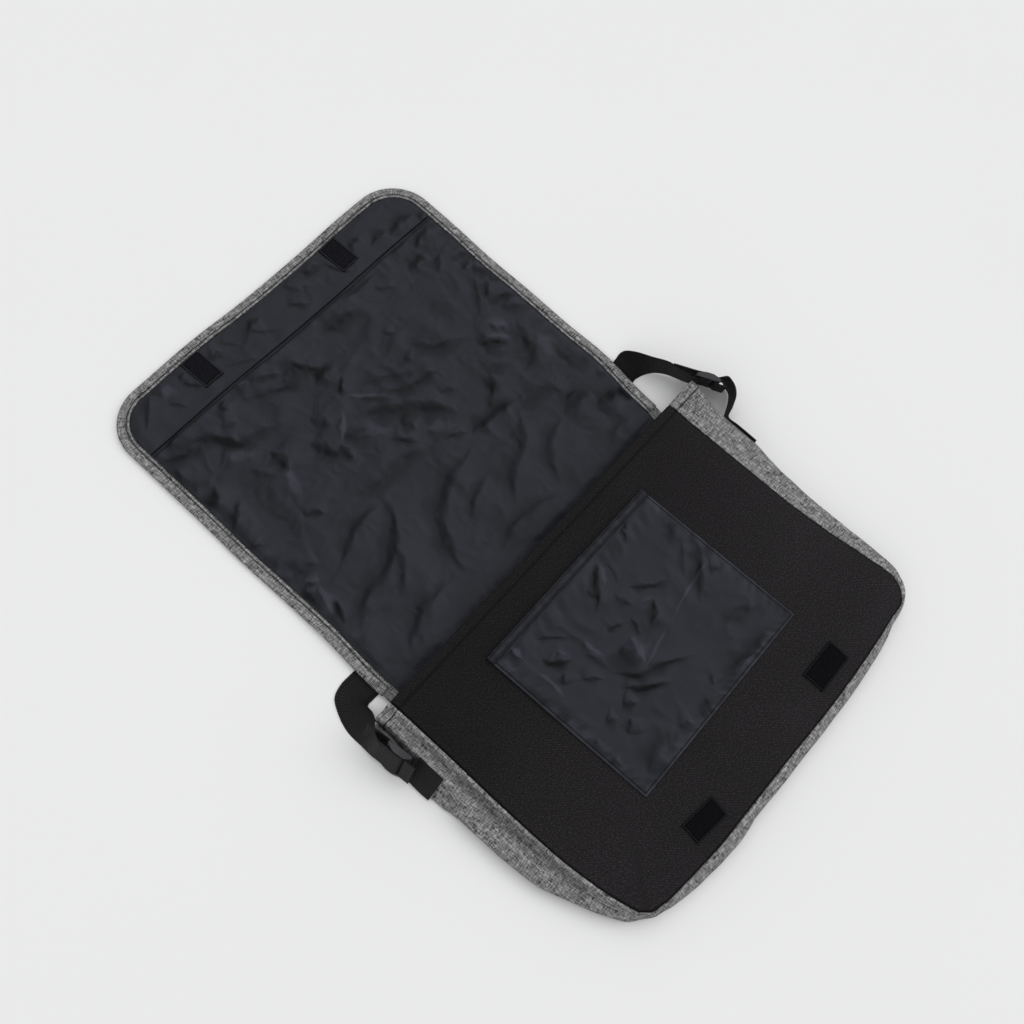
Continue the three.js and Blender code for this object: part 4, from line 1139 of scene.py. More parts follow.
def pocket_relief(x, y):
    """Height of the pocket's cloth over its smooth shape, and the painted shade and light of its folds."""
    sewn = pocket_edge(x, y)
    hem = -y - POCKET_FROM_MOUTH
    loose = ease(sewn / 7) * ease((hem - POCKET_HEM) / 5)
    along = np.where(sewn == y + POCKET_FROM_MOUTH + POCKET_LENGTH, x, y)
    pucker = 0.5 * cloud(along + 0.5 * sewn, sewn * 0.3, 4.5, 27) * bell(sewn - 5, 6)
    under_hem = 0.8 * cloud(x + 0.4 * (hem - POCKET_HEM), hem * 0.22, 6.5, 28)
    under_hem = under_hem * bell(hem - POCKET_HEM - 7, 10)
    under_hem = under_hem * ease((hem - POCKET_HEM) / 3) * ease(sewn / 6)
    channel = 0.35 * bell(sewn - POCKET_STITCH, 0.8)
    relief = pocket_rise(x, y) + pucker + under_hem
    # Painted shade on the creases' steep faces and where the folds fall away, painted light where they rise
    shade = creases(x, y, POCKET_FOLDS)[1] * loose * CREASE_DARK + slope_shade(pocket_rise, x, y)
    # Painted shade in the sunk stitch line, and a lighter line along the rim
    shade = shade + bell(sewn - POCKET_STITCH, 0.55) - 0.45 * bell(sewn - POCKET_RIM, 0.7)
    # Painted shade in the hollows of the puckers and of the gathers under the hem, painted light on their
    # crests; the whole nylon a little lighter
    shade = shade - 0.5 * np.clip(under_hem, -1, 1) - 0.9 * pucker - NYLON_LIFT
    return np.maximum(relief, -POCKET_LOW) - channel, shade


def pocket_top(x, y):
    return pocket_height(x, y) + pocket_relief(x, y)[0]


HEM_STITCHES = (1.7, 6.8)


def hem_top(x, y):
    """Upper face of the folded strip along the pocket's opening."""
    down = -POCKET_FROM_MOUTH - y
    ripple = 0.3 * cloud(x, y * 2, 6, 31) * np.sin(math.pi * np.clip(down / POCKET_HEM, 0, 1))
    channel = sum(0.35 * bell(down - at, 0.6) for at in HEM_STITCHES)
    roll = 0.7 * (1 - ease(down / 1.0)) ** 2 + 0.5 * (1 - ease((POCKET_HEM - down) / 0.8)) ** 2
    return pocket_height(x, y) + GAP + POCKET_WALL + ripple - channel - roll


def make_pocket():
    x0, x1 = POCKET_SHIFT - POCKET_WIDTH / 2, POCKET_SHIFT + POCKET_WIDTH / 2
    y0, y1 = -POCKET_FROM_MOUTH, -POCKET_FROM_MOUTH - POCKET_LENGTH
    x, y = np.meshgrid(np.linspace(x0, x1, spaced(POCKET_WIDTH, 0.75) + 1),
                       np.linspace(y0, y1, spaced(POCKET_LENGTH, 0.75) + 1))
    relief, shade = pocket_relief(x, y)
    smooth = pocket_height(x, y)
    outer = np.stack([x, y, smooth + relief], 2)
    inner = np.stack([x, y, smooth - POCKET_LOW - POCKET_WALL * 0.7], 2)
    pocket = shell("pocket_nylon", outer, inner, np.stack([x, y], 2), shade, coarse=4)
    finish_piece(pocket, NYLON, ["front_pocket"])

    x, y = np.meshgrid(np.linspace(x0, x1, spaced(POCKET_WIDTH, 1.0) + 1),
                       np.linspace(y0, y0 - POCKET_HEM, 19))
    down = y0 - y
    # Painted shade in the sunk stitch lines and where the hem folds under at its lower edge, with a random
    # lighter and darker mottle
    shade = sum(0.75 * bell(down - at, 0.55) for at in HEM_STITCHES)
    shade = shade + ease(1 - (POCKET_HEM - down) / 0.7) - 0.35 * cloud(x, y, 5, 32)
    outer = np.stack([x, y, hem_top(x, y)], 2)
    inner = np.stack([x, y, pocket_height(x, y) + GAP * 0.6], 2)
    hem = shell("pocket_hem_fold", outer, inner, np.stack([x, y], 2), shade)
    finish_piece(hem, NYLON, ["pocket_hem"])


make_pocket()


# Flap

LINING_FOLDS = [
    # points x, y along the fold, then its half width and the strength of its painted shade (below nothing,
    # painted light)
    (-171, 316, -163, 304, -150, 297, -128, 299, -115, 284, -107, 269, -89, 265, -75, 260, -53, 252, 4.2, 1),
    (-81, 308, -57, 291, -31, 281, -21, 285, -15, 293, -9, 281, -1, 272, 14, 263, 3.6, 1),
    (-29, 219, 1, 205, 21, 189, 39, 172, 51, 156, 61, 140, 6.1, 0.9),
    (48, 120, 68, 122, 92, 118, 109, 112, 4.9, 0.95), (12, 234, 29, 226, 49, 213, 67, 205, 3.0, 0.6),
    (20, 217, 38, 200, 64, 194, 79, 189, 3.6, 0.8),
    (177, 176, 167, 156, 158, 139, 149, 131, 133, 128, 4.8, 0.6),
    (94, 97, 111, 104, 131, 104, 141, 97, 142, 84, 4.8, 0.6), (-14, 263, -1, 267, 14, 263, 4.0, 1),
    (-54, 307, -41, 303, -28, 294, 2.3, 0.8), (11, 254, 1, 244, -8, 234, 2.5, 0.8),
    (-156, 311, -143, 319, -129, 323, 2.8, 0.8), (-107, 293, -100, 289, -92, 285, 1.9, 0.7),
    (-83, 314, -91, 310, -89, 299, 1.5, 0.6), (-61, 223, -56, 210, -57, 191, 5.7, 0.6),
    (-46, 239, -39, 230, -38, 219, 4.8, 0.5), (-93, 244, -93, 231, -100, 217, 4.8, 0.8),
    (-118, 245, -115, 232, -105, 219, 3.8, 0.3), (-150, 259, -161, 247, -167, 234, 3.8, 0.8),
    (-145, 233, -157, 222, -174, 213, 2.8, 0.6), (-164, 295, -169, 285, -175, 274, 1.9, 0.6),
    (-174, 189, -167, 188, -162, 185, 1.4, 0.6), (-119, 176, -108, 173, -101, 162, 2.8, 0.7),
    (-164, 142, -149, 141, -140, 137, 3.8, 0.6), (-174, 129, -170, 121, -159, 121, 2.8, 1),
    (-155, 104, -161, 91, -168, 80, 2.8, 0.7), (-176, 155, -173, 148, -171, 141, 1.4, 0.6),
    (143, 314, 157, 312, 170, 312, 1.7, 0.6), (67, 309, 90, 308, 119, 308, 2.8, 0.6),
    (30, 298, 53, 295, 79, 288, 4.8, 0.8), (166, 299, 179, 305, 196, 310, 3.6, 0.7),
    (143, 288, 158, 289, 171, 289, 4.3, 0.8), (159, 264, 170, 273, 181, 281, 3.8, 0.45),
    (178, 263, 191, 264, 202, 259, 2.5, 0.7), (179, 248, 189, 251, 200, 253, 2.8, 0.6),
    (189, 244, 194, 237, 200, 228, 3.4, 0.7), (184, 235, 168, 219, 149, 196, 2.8, 0.4),
    (191, 229, 182, 218, 172, 210, 2.3, 0.6), (168, 204, 184, 201, 199, 187, 2.5, 0.9),
    (176, 195, 182, 184, 196, 177, 3.8, 0.5), (192, 226, 196, 220, 200, 215, 1.7, 0.6),
    (77, 233, 94, 208, 129, 191, 4.2, 0.6), (124, 182, 136, 174, 154, 160, 3.8, 1),
    (122, 169, 131, 163, 144, 156, 2.8, 0.5), (106, 157, 120, 152, 136, 147, 3.8, 0.6),
    (93, 146, 103, 140, 114, 136, 3.8, 0.6), (69, 258, 74, 251, 81, 247, 1.4, 0.7),
    (102, 294, 111, 290, 122, 281, 1.5, 0.5), (4, 224, 12, 213, 27, 196, 1.5, 0.7),
    (-41, 206, -25, 198, -6, 192, 5.7, 0.6), (13, 180, 16, 170, 19, 161, 3.8, 0.6),
    (-9, 175, -0, 162, 13, 152, 3.4, 0.8), (-45, 204, -48, 194, -48, 183, 4.8, 0.7),
    (26, 140, 39, 131, 50, 125, 1.9, 0.7), (138, 80, 149, 80, 159, 78, 1.4, 0.7),
    (125, 70, 147, 72, 168, 71, 7.6, 0.6), (152, 52, 169, 52, 187, 55, 5.7, 1.3),
    (190, 54, 187, 43, 184, 32, 4.8, 1.3), (169, 98, 181, 95, 190, 86, 4.8, 0.4),
    (170, 114, 180, 108, 193, 106, 2.5, 0.5), (180, 77, 185, 72, 188, 66, 2.3, 0.5),
    (60, 173, 69, 169, 75, 162, 2.8, 0.4), (116, 236, 136, 231, 149, 227, 6.6, 0.25),
    (66, 224, 67, 219, 70, 215, 1.9, 0.4), (-91, 229, -100, 212, -106, 189, 3.4, -0.4),
    (-156, 122, -159, 108, -170, 93, 2.8, -0.5), (-163, 133, -155, 130, -151, 122, 2.8, -0.7),
    (-4, 234, 10, 222, 22, 208, 1.4, -0.6), (-32, 199, -13, 190, 6, 175, 3.8, -0.5),
    (149, 188, 157, 184, 164, 174, 3.8, -0.6), (180, 151, 173, 134, 161, 119, 5.7, -0.4),
    (23, 157, 35, 148, 50, 138, 3.8, -0.4), (-17, 226, -28, 214, -45, 201, 1.9, -0.6),
    (-122, 276, -114, 262, -97, 250, 5.7, -0.4), (-69, 317, -61, 315, -52, 311, 2.8, -0.4),
    (138, 183, 149, 172, 158, 164, 1.5, -0.7),
    (-168, 60, -140, 82, -104, 88, -70, 112, -48, 150, 5, 0.6),
    (-60, 24, -52, 60, -30, 90, 8, 108, 48, 112, 5.5, 0.6),
    (18, 40, 44, 66, 76, 82, 104, 110, 4.5, 0.5), (66, 22, 80, 48, 98, 66, 126, 70, 4.5, 0.5),
    (-132, 118, -108, 130, -84, 138, -58, 134, 4, 0.55), (-80, 160, -46, 148, -12, 150, 20, 138, 5, 0.6),
    (-150, 20, -126, 34, -96, 40, -66, 36, 4, 0.5), (-28, 20, 2, 32, 40, 28, 70, 14, 4, 0.5),
    (-118, 60, -96, 76, -80, 104, 3.5, 0.5), (80, 126, 100, 138, 112, 158, 3.5, 0.5),
    (-20, 62, 4, 78, 30, 82, 3.5, 0.5), (130, 18, 152, 26, 176, 20, 3.5, 0.5),
]
FACING_FOLDS = [
    # points x, y along the fold, then its half width and the strength of its painted shade (below nothing,
    # painted light)
    (-20, 350, -8, 354, 4, 352, 2.8, 0.7), (-19, 351, -5, 338, 10, 329, 1.1, 0.5),
    (29, 347, 37, 337, 49, 329, 1.7, 0.8), (66, 363, 74, 354, 86, 356, 2.3, 0.8),
    (87, 352, 94, 338, 103, 325, 1.4, 0.9), (119, 351, 128, 347, 138, 350, 2.5, 0.8),
    (-98, 357, -92, 345, -85, 335, 1.7, 0.7), (-123, 347, -116, 340, -109, 330, 1.2, 0.6),
    (-127, 367, -142, 354, -155, 339, 2.1, 0.45), (-63, 357, -56, 353, -48, 352, 2.3, 0.7),
    (-45, 361, -39, 354, -33, 345, 1.3, 0.4), (-61, 341, -46, 331, -27, 319, 1.1, 0.6),
    (136, 333, 152, 336, 166, 335, 3.8, 0.7), (158, 325, 175, 334, 196, 330, 3.6, 0.9),
    (191, 320, 200, 323, 207, 322, 2.3, 0.8), (-87, 360, -93, 360, -98, 357, 1.9, 0.5),
    (41, 361, 47, 354, 53, 344, 2.8, 0.25), (-108, 362, -115, 357, -123, 353, 4.8, -0.4),
    (56, 351, 65, 347, 75, 346, 2.8, -0.4),
]


def flap_edge(x, y):
    """Distance in from the flap's bound edges, near enough for fading wrinkles."""
    share = np.clip(y / FLAP_LENGTH, 0, 1)
    left = x - read_table(FLAP_OUTLINE, share, 1) * HALF
    right = read_table(FLAP_OUTLINE, share, 2) * HALF - x
    end = FLAP_LENGTH * flap_stretch(x, 1) - y
    return np.minimum(np.minimum(left, right), end)


FACING_START = FLAP_LENGTH - FACING_LENGTH


def seam_distance(x, y):
    """Distance from the seam between lining and facing, positive towards the free end."""
    return y / flap_stretch(x, FACING_START / FLAP_LENGTH) - FACING_START


SEAM_LINE = 1.5
SEAM_GAP = 0.05
PRESSED_LINE = 3.6
NYLON_LOW = 0.4
# The lining is pinched up to a small star here
PINCH = (136.9, 180.0)
PINCH_HEIGHT = 2.4
PINCH_REACH = 3.2


def lining_rise(x, y):
    """Height of the lining's loose folds over its smooth shape."""
    loose = ease((flap_edge(x, y) - BINDING_WIDTH) / 7) * ease(-seam_distance(x, y) / 6) * ease((y + 4) / 14)
    broad = 1.7 * crumple(x, y, 58, 41) + 0.9 * crumple(x, y, 26, 44) + 0.35 * crumple(x, y, 11, 45)
    star = PINCH_HEIGHT * np.exp(-np.hypot(x - PINCH[0], y - PINCH[1]) / PINCH_REACH)
    return (creases(x, y, LINING_FOLDS)[0] + broad + star - 0.8) * loose


def lining_relief(x, y):
    """Height of the lining over its smooth shape, and the painted shade and light of its folds."""
    edge = flap_edge(x, y) - BINDING_WIDTH
    seam = -seam_distance(x, y)
    pucker = 0.5 * cloud(y + x * 0.2, edge * 0.3, 7, 47) * bell(edge - 6, 8) * ease(edge / 2.5)
    at_seam = 0.7 * cloud(x, seam * 0.3, 7.5, 48) * bell(seam - 7, 8) * ease(seam / 2.5)
    pressed = bell(seam - PRESSED_LINE - 0.8 * cloud(x, 0 * x, 34, 49), 0.9)
    relief = lining_rise(x, y) + (pucker * ease(seam / 6) + at_seam * ease(edge / 8)) * ease(y / 20)
    relief = np.maximum(relief, -NYLON_LOW) - 0.5 * pressed - 0.8 * (1 - ease(seam / SEAM_LINE))
    # Painted shade on the creases' steep faces, where folds fall away, in the pressed groove and where the
    # cloth turns into the seam; painted light where folds rise and on the crests of the puckers and bumps by
    # the seam, painted shade in their hollows
    dark = creases(x, y, LINING_FOLDS)[1] * ease(edge / 3) * ease(seam / 4) * ease((y + 4) / 14) * CREASE_DARK
    shade = dark + slope_shade(lining_rise, x, y) + 0.9 * pressed + ease(1 - seam / SEAM_LINE) - 0.3 * at_seam
    return relief, shade - 0.5 * pucker * ease(y / 20) - NYLON_LIFT


def facing_rise(x, y):
    """Height of the facing's loose folds over its smooth shape."""
    loose = ease((flap_edge(x, y) - BINDING_WIDTH) / 6) * ease(seam_distance(x, y) / 5)
    broad = 1.1 * crumple(x, y, 40, 51) + 0.5 * crumple(x, y, 17, 54)
    return (creases(x, y, FACING_FOLDS)[0] + broad - 0.5) * loose


def facing_relief(x, y):
    """Height of the facing over its smooth shape, and the painted shade and light of its folds."""
    edge = flap_edge(x, y) - BINDING_WIDTH
    seam = seam_distance(x, y)
    pucker = 0.35 * cloud(x + y * 0.2, edge * 0.3, 7, 57) * bell(edge - 5, 6) * ease(edge / 2.5)
    relief = np.maximum(facing_rise(x, y) + pucker * ease(seam / 5), -NYLON_LOW)
    relief = relief - 0.8 * (1 - ease(seam / SEAM_LINE))
    # Painted shade on the creases' steep faces, where folds fall away and where the cloth turns into the
    # seam, painted light where folds rise
    dark = creases(x, y, FACING_FOLDS)[1] * ease(edge / 3) * ease(seam / 4) * CREASE_DARK
    return relief, dark + slope_shade(facing_rise, x, y) + ease(1 - seam / SEAM_LINE) - NYLON_LIFT


NYLON_UNDER = FLAP_WALL + LAYER_GAP
LINING_INSIDE = 6.0


def make_lining():
    low = -PANEL_LENGTH + LINING_INSIDE + PANEL_CORNER
    top = FACING_START - SEAM_GAP
    inside = np.linspace(low, -HINGE_RUN, 40)
    hinge = np.linspace(-HINGE_RUN, HINGE_RUN, 19)[1:]
    outside = np.linspace(HINGE_RUN, top, spaced(top - HINGE_RUN, 1.3) + 1)[1:]
    ys = np.concatenate([inside, hinge, outside])
    across, y = np.meshgrid(np.linspace(0, 1, 301), ys)
    fx, fy = flap_spot(across, y, LINING_INSET)
    hinge_x, _ = flap_spot(across, 0 * y, LINING_INSET)
    fade = ease(-y / HINGE_RUN)
    body_x = mix(hinge_x, mix(-HALF + LINING_INSIDE, HALF - LINING_INSIDE, across), fade)
    x = np.where(y < 0, body_x, fx)
    out_y = np.where(y < 0, y, fy)
    over = flap_height(np.zeros(1), np.zeros(1)) + NYLON_UNDER + LINING_WALL
    body_z = mix(over, SHELL_WALL + GAP + LINING_WALL, fade)
    flap_z = flap_height(x, out_y) + NYLON_UNDER + LINING_WALL
    base = np.where(y < 0, body_z, flap_z)
    inside_waves = np.where(y < 0, 0.4 * crumple(x, out_y, 50, 61) * ease(fade * 2) * 0.5, 0)
    relief, shade = lining_relief(x, out_y)
    z = base + relief * (y > -4) + inside_waves
    outer = np.stack([x, out_y, z], 2)
    inner = np.stack([x, out_y, base - NYLON_LOW - LINING_WALL * 0.5], 2)
    inner[:, :, 2] = np.minimum(inner[:, :, 2], z - 0.2)
    lining = shell("flap_lining_nylon", outer, inner, np.stack([x, out_y], 2), shade, coarse=4)
    finish_piece(lining, NYLON, ["flap_lining"])


def flap_patch(name, inset, start, step, under, wall, relief, material, nodes, coarse=1):
    """Cloth of the flap from start to its free end, its wall laid on what is under it."""
    stop = FLAP_LENGTH - inset
    corner = stop - FLAP_CORNER + inset
    straight = np.linspace(start, corner, spaced(corner - start, step) + 1)
    turn = np.sin(np.linspace(0, math.pi / 2, spaced(1.4 * FLAP_CORNER, step))[1:])
    ys = np.concatenate([straight, stop - (FLAP_CORNER - inset) * (1 - turn)])
    across, y = np.meshgrid(np.linspace(0, 1, spaced(PANEL_WIDTH, step) + 1), ys)
    x, y = flap_spot(across, y, inset)
    base = flap_height(x, y) + under
    rise, shade = relief(x, y)
    outer = np.stack([x, y, base + wall + rise], 2)
    inner = np.stack([x, y, np.minimum(base + 0.1 * wall, outer[:, :, 2] - 0.2)], 2)
    piece = shell(name, outer, inner, np.stack([x, y], 2), shade, coarse)
    finish_piece(piece, material, nodes)


def binding_path(step):
    """Edge of the flap from the left of the hinge round to the right, evenly spaced."""
    stop = FLAP_LENGTH
    straight = np.linspace(HINGE_RUN, stop - FLAP_CORNER, 260)
    turn = stop - FLAP_CORNER * (1 - np.sin(np.linspace(0, math.pi / 2, 40)[1:]))
    ys = np.concatenate([straight, turn])
    left = np.stack(flap_spot(0 * ys, ys, 0), 1)
    across = np.linspace(0, 1, 200)[1:-1]
    end = np.stack(flap_spot(across, 0 * across + stop, 0), 1)
    right = np.stack(flap_spot(0 * ys + 1, ys, 0), 1)[::-1]
    return resample(np.concatenate([left, end, right]), step)


def resample(path, step):
    path = np.asarray(path, float)
    far = distances(path)
    places = np.linspace(0, far[-1], max(2, int(round(far[-1] / step))) + 1)
    return np.stack([np.interp(places, far, path[:, i]) for i in range(path.shape[1])], 1)


def path_normals(path):
    """Inward direction, to the right of the way along the path."""
    ahead = np.gradient(path, axis=0)
    inward = np.stack([ahead[:, 1], -ahead[:, 0]], 1)
    return inward / np.linalg.norm(inward, axis=1, keepdims=True)


def tube(name, rings, threads, shade=None):
    """Closed solid from rings of points that all go round the same way, with both ends capped."""
    count, size = rings.shape[:2]
    index = np.arange(count * size).reshape(count, size)
    turned = np.roll(index, -1, axis=1)
    faces = np.stack([index[:-1], turned[:-1], turned[1:], index[1:]], 2).reshape(-1, 4).tolist()
    faces += [index[0][::-1].tolist(), index[-1].tolist()]
    obj = add_object(name, rings.reshape(-1, 3), faces, threads.reshape(-1, 2), shade)
    face_outwards(obj)
    return obj


BINDING_STITCH = 7.6
EDGE_ROUND = 1.55
EDGE_START = 0.9
EDGE_STEPS = 9
BINDING_STEP = 1.6
# Distances in from the flap's edge at which the binding's upper and lower faces have rows of points
BINDING_UPPER = (BINDING_WIDTH, 10.7, 10.2, 9.6, 9, 8.5, 8, 7.6, 7.2, 6.7, 6, 4.8, 3.4, 2.2, 1.2)
BINDING_LOWER = (1.2, 4, 7.5, BINDING_WIDTH)
BINDING_TURNED = 0.9


def make_binding():
    """Binding folded round the flap's edge, with a stitched groove and a soft crown."""
    path = binding_path(BINDING_STEP)
    inward = path_normals(path)
    far = distances(path)
    top = FLAP_WALL + LAYER_GAP + BINDING_WALL
    outer = GAP + BINDING_WALL
    bottom = -outer
    middle = (top + bottom) / 2
    half = (top - bottom) / 2
    profile = [(d, top, 1) for d in BINDING_UPPER]
    for i in range(1, EDGE_STEPS):
        angle = math.pi / 2 + math.pi * i / EDGE_STEPS
        out = EDGE_ROUND * outer * -math.cos(angle)
        profile.append((EDGE_START - out, middle + half * math.sin(angle), 0))
    profile += [(d, bottom, -1) for d in BINDING_LOWER]
    profile += [(BINDING_WIDTH, bottom + BINDING_TURNED, -1), (BINDING_WIDTH, top - BINDING_TURNED - 0.05, 1)]
    depth, up, face = np.array(profile).T
    xy = path[:, None, :] + inward[:, None, :] * depth[None, :, None]
    base = flap_height(xy[:, :, 0], xy[:, :, 1])
    z = base + up
    along = far[:, None]
    ripple = 0.28 * cloud(along, depth[None, :] * 2, 8, 71) + 0.25 * cloud(along, depth[None, :], 28, 72)
    groove = 0.42 * bell(depth - BINDING_STITCH, 0.7)
    crown = 0.35 * bell(depth - 3.5, 3.2)
    edge = 0.5 * bell(depth - BINDING_WIDTH, 0.5)
    z = z + np.where(face > 0, ripple + crown - groove - edge, 0)
    z = np.maximum(z, 0.1)
    rings = np.concatenate([xy, z[:, :, None]], 2)
    girth = np.concatenate([[0], np.cumsum(np.hypot(np.diff(depth), np.diff(up)))])
    threads = np.stack([girth[None, :] + 0 * along, along + 0 * girth[None, :]], 2)
    # Painted shade in the stitched groove and along the inner edge, where the binding meets the lining
    line = np.where(face > 0, 0.9 * bell(depth - BINDING_STITCH, 0.75), 0)
    inner_edge = np.where(face > 0, ease((depth - BINDING_WIDTH + 0.9) / 0.9), 0)
    binding = tube("flap_binding_cloth", rings, threads, line + inner_edge + 0 * along)
    return finish_piece(binding, HEATHER, ["flap_binding"])


flap_patch("flap_outer_cloth", 0, GAP + 0.05, 4.0, 0, FLAP_WALL, lambda x, y: (0 * x, 0 * x),
           HEATHER, ["flap_shell"])
make_lining()
flap_patch("flap_facing_nylon", LINING_INSET, FACING_START + SEAM_GAP, 1.3, NYLON_UNDER, LINING_WALL,
           facing_relief, NYLON, ["flap_facing"], 3)
make_binding()


# Hook and loop tape

TAPE_STITCH = 2.0
# Each loop patch: its place from the fastening, its width and length, and how far it is turned
LOOP_LAY = {"left": (3.1, 1.3, 36.6, 20.2, -0.12), "right": (0.8, 0.6, 42.0, 22.8, 0.0)}


def tape_spot(lay, across, along):
    """A place on a piece of tape, turned about its middle."""
    out, back = across * lay["width"], (0.5 - along) * lay["length"]
    x = lay["x"] + out * math.cos(lay["turn"]) - back * math.sin(lay["turn"])
    y = lay["y_of"](lay["x"] + out, along) + out * math.sin(lay["turn"]) + back * (math.cos(lay["turn"]) - 1)
    return x, y


def tape_lays():
    """Where the two loop patches and the two hook tabs lie, and what each is sewn on."""
    spread = (float(read_table(FLAP_OUTLINE, 0.8, 2)) - 1) * HALF
    on_panel = lambda x, y: front_surface(x, y) + front_dents(x, y) + GAP
    on_facing = lambda x, y: flap_height(x, y) + NYLON_UNDER + LINING_WALL + LAYER_GAP
    tab_y = lambda x, t: (FLAP_LENGTH - BINDING_WIDTH - GAP) * flap_stretch(x, 1) - GAP - t * TAB_LENGTH
    lays = []
    for side, name in ((-1, "left"), (1, "right")):
        centre = FASTENING_SHIFT + side * FASTENING_SPACING / 2
        over, up, width, length, turn = LOOP_LAY[name]
        middle = -PANEL_LENGTH + PATCH_FROM_BOTTOM + PATCH_LENGTH / 2 + up
        patch_y = lambda x, t, middle=middle, length=length: middle + (0.5 - t) * length + 0 * x
        lays.append({"name": "patch", "node": "loop_patch_" + name, "x": centre + over, "y_of": patch_y,
                     "width": width, "length": length, "turn": turn, "height": on_panel,
                     "material": LOOP_TAPE, "slot": "loop_tape"})
        lays.append({"name": "tab", "node": "hook_tab_" + name, "x": centre + spread, "y_of": tab_y,
                     "width": TAB_WIDTH, "length": TAB_LENGTH, "turn": 0.0, "height": on_facing,
                     "material": HOOK_TAPE, "slot": "hook_tape"})
    return lays


def tape_piece(lay):
    """A sewn-down piece of tape with a pile, held flat along its stitched border."""
    width, length = lay["width"], lay["length"]
    across, along = np.meshgrid(np.linspace(-0.5, 0.5, spaced(width, 0.5) + 1),
                                np.linspace(0, 1, spaced(length, 0.5) + 1))
    x, y = tape_spot(lay, across, along)
    border = np.minimum((0.5 - np.abs(across)) * width, np.minimum(along, 1 - along) * length)
    pile = 0.35 * cloud(x, y, 1.1, 81) * ease(border / 1.2) + 0.25 * cloud(x, y, 2.3, 82) * ease(border / 1.5)
    sewn = 0.45 * bell(border - TAPE_STITCH, 0.7)
    roll = 0.5 * (1 - ease(border / 0.8))
    base = lay["height"](x, y)
    outer = np.stack([x, y, base + PATCH_WALL + pile - sewn - roll], 2)
    inner = np.stack([x, y, base], 2)
    # Painted shade in the sunk stitch line, and a lighter line a millimetre in from the edge
    shade = 0.8 * bell(border - TAPE_STITCH, 0.5) - 0.5 * bell(border - 1.0, 0.45)
    threads = np.stack([x - lay["x"], y - y.mean()], 2)
    piece = shell(lay["node"] + "_pile", outer, inner, threads, shade)
    return finish_piece(piece, lay["material"], [lay["node"]])


for tape_lay in tape_lays():
    tape_piece(tape_lay)


# Strap, anchors and buckles

def unit(v):
    v = np.asarray(v, float)
    return v / np.linalg.norm(v)


BUCKLE_WIDTH = WEBBING_WIDTH + 2 * BUCKLE_CLEAR + 2 * BUCKLE_SIDE
BUCKLE_LENGTH = 3 * BUCKLE_BAR + 2 * BUCKLE_SLOT
BAR_PITCH = BUCKLE_BAR + BUCKLE_SLOT
WRAP = math.hypot(BUCKLE_BAR, BUCKLE_THICKNESS) / 2 + GAP + WEBBING_WALL / 2


def buckle_frame(x, y, run_x, run_y, lean):
    run = unit((run_x, run_y, 0))
    flat = np.array([run[1], -run[0], 0])
    inner = flat if x > 0 else -flat
    wide = np.array([0, 0, math.cos(lean)]) + inner * math.sin(lean)
    outward = unit(np.cross(run, wide))
    if outward[0] * x < 0:
        outward = -outward
    centre = np.array([x, y, BUCKLE_WIDTH / 2 * wide[2] + BUCKLE_REST])
    return {"run": run, "wide": wide, "outward": outward, "centre": centre}


RIGHT_BUCKLE = buckle_frame(HALF + 51.5, -9, 0.42, -0.9, 0.32)
LEFT_BUCKLE = buckle_frame(-HALF - 31.5, -35.5, 0.08, -0.99, 0.3)
HALF_TURN = [math.radians(a) for a in range(0, 181, 30)]
STAND_OFF = 0.3


def at_buckle(buckle, along, out):
    """The webbing's two edges at a place along a buckle and off its middle."""
    middle = buckle["centre"] + buckle["run"] * along + buckle["outward"] * out
    return (middle - buckle["wide"] * WEBBING_WIDTH / 2, middle + buckle["wide"] * WEBBING_WIDTH / 2)


def hairpin(buckle, bar, side, tail):
    """Webbing round an end bar and back along itself to its sewn tail."""
    sign = math.copysign(1, bar)
    arc = [at_buckle(buckle, bar - sign * WRAP * math.sin(a), side * WRAP * math.cos(a)) for a in HALF_TURN]
    return arc + [at_buckle(buckle, bar + sign * tail, -side * (WRAP + STAND_OFF))]


def beside(side, spot):
    """A place beside the bag: how far out from the panel's side, how far along and how high."""
    return np.array([side * (HALF + spot[0]), spot[1], spot[2]], float)


def station(side, low, high):
    return beside(side, low), beside(side, high)


# Centre of the hidden stretch, as shares of HALF and FLAP_LENGTH
STRAP_LOOP = [
    (0.905, 0.156), (0.751, 0.167), (0.627, 0.208), (0.576, 0.294), (0.581, 0.417),
    (0.571, 0.534), (0.504, 0.646), (0.339, 0.732), (0.103, 0.768), (-0.144, 0.755),
    (-0.36, 0.698), (-0.494, 0.604), (-0.545, 0.49), (-0.55, 0.365), (-0.566, 0.25),
    (-0.627, 0.151), (-0.751, 0.096), (-0.884, 0.081),
]
STRAP_FLAT = 0.8
RIGHT_VISIBLE = [
    station(1, (7.5, 45, STRAP_FLAT), (15.5, 74, STRAP_FLAT)),
    station(1, (15, 46, STRAP_FLAT), (22.5, 73, 8)),
    station(1, (21.5, 44, 0.9), (23.5, 63, 23)),
    station(1, (31.5, 38, 1), (28.5, 43.5, 30)),
    station(1, (39.5, 27, 1.6), (35.5, 26.5, 31.2)),
]
LEFT_VISIBLE = [
    station(-1, (2.5, 46, STRAP_FLAT), (2.5, 16, STRAP_FLAT)),
    station(-1, (12.5, 45.5, STRAP_FLAT), (9.5, 16.5, STRAP_FLAT)),
    station(-1, (24.5, 42, STRAP_FLAT), (11.5, 15, 3)),
    station(-1, (32.5, 29, 0.9), (13.5, 9, 8)),
    station(-1, (37.5, 13, 1), (18.5, 2, 16)),
    station(-1, (39.5, -4, 1.6), (25.5, -6, 27)),
]
STRAP_TAIL = 25.0


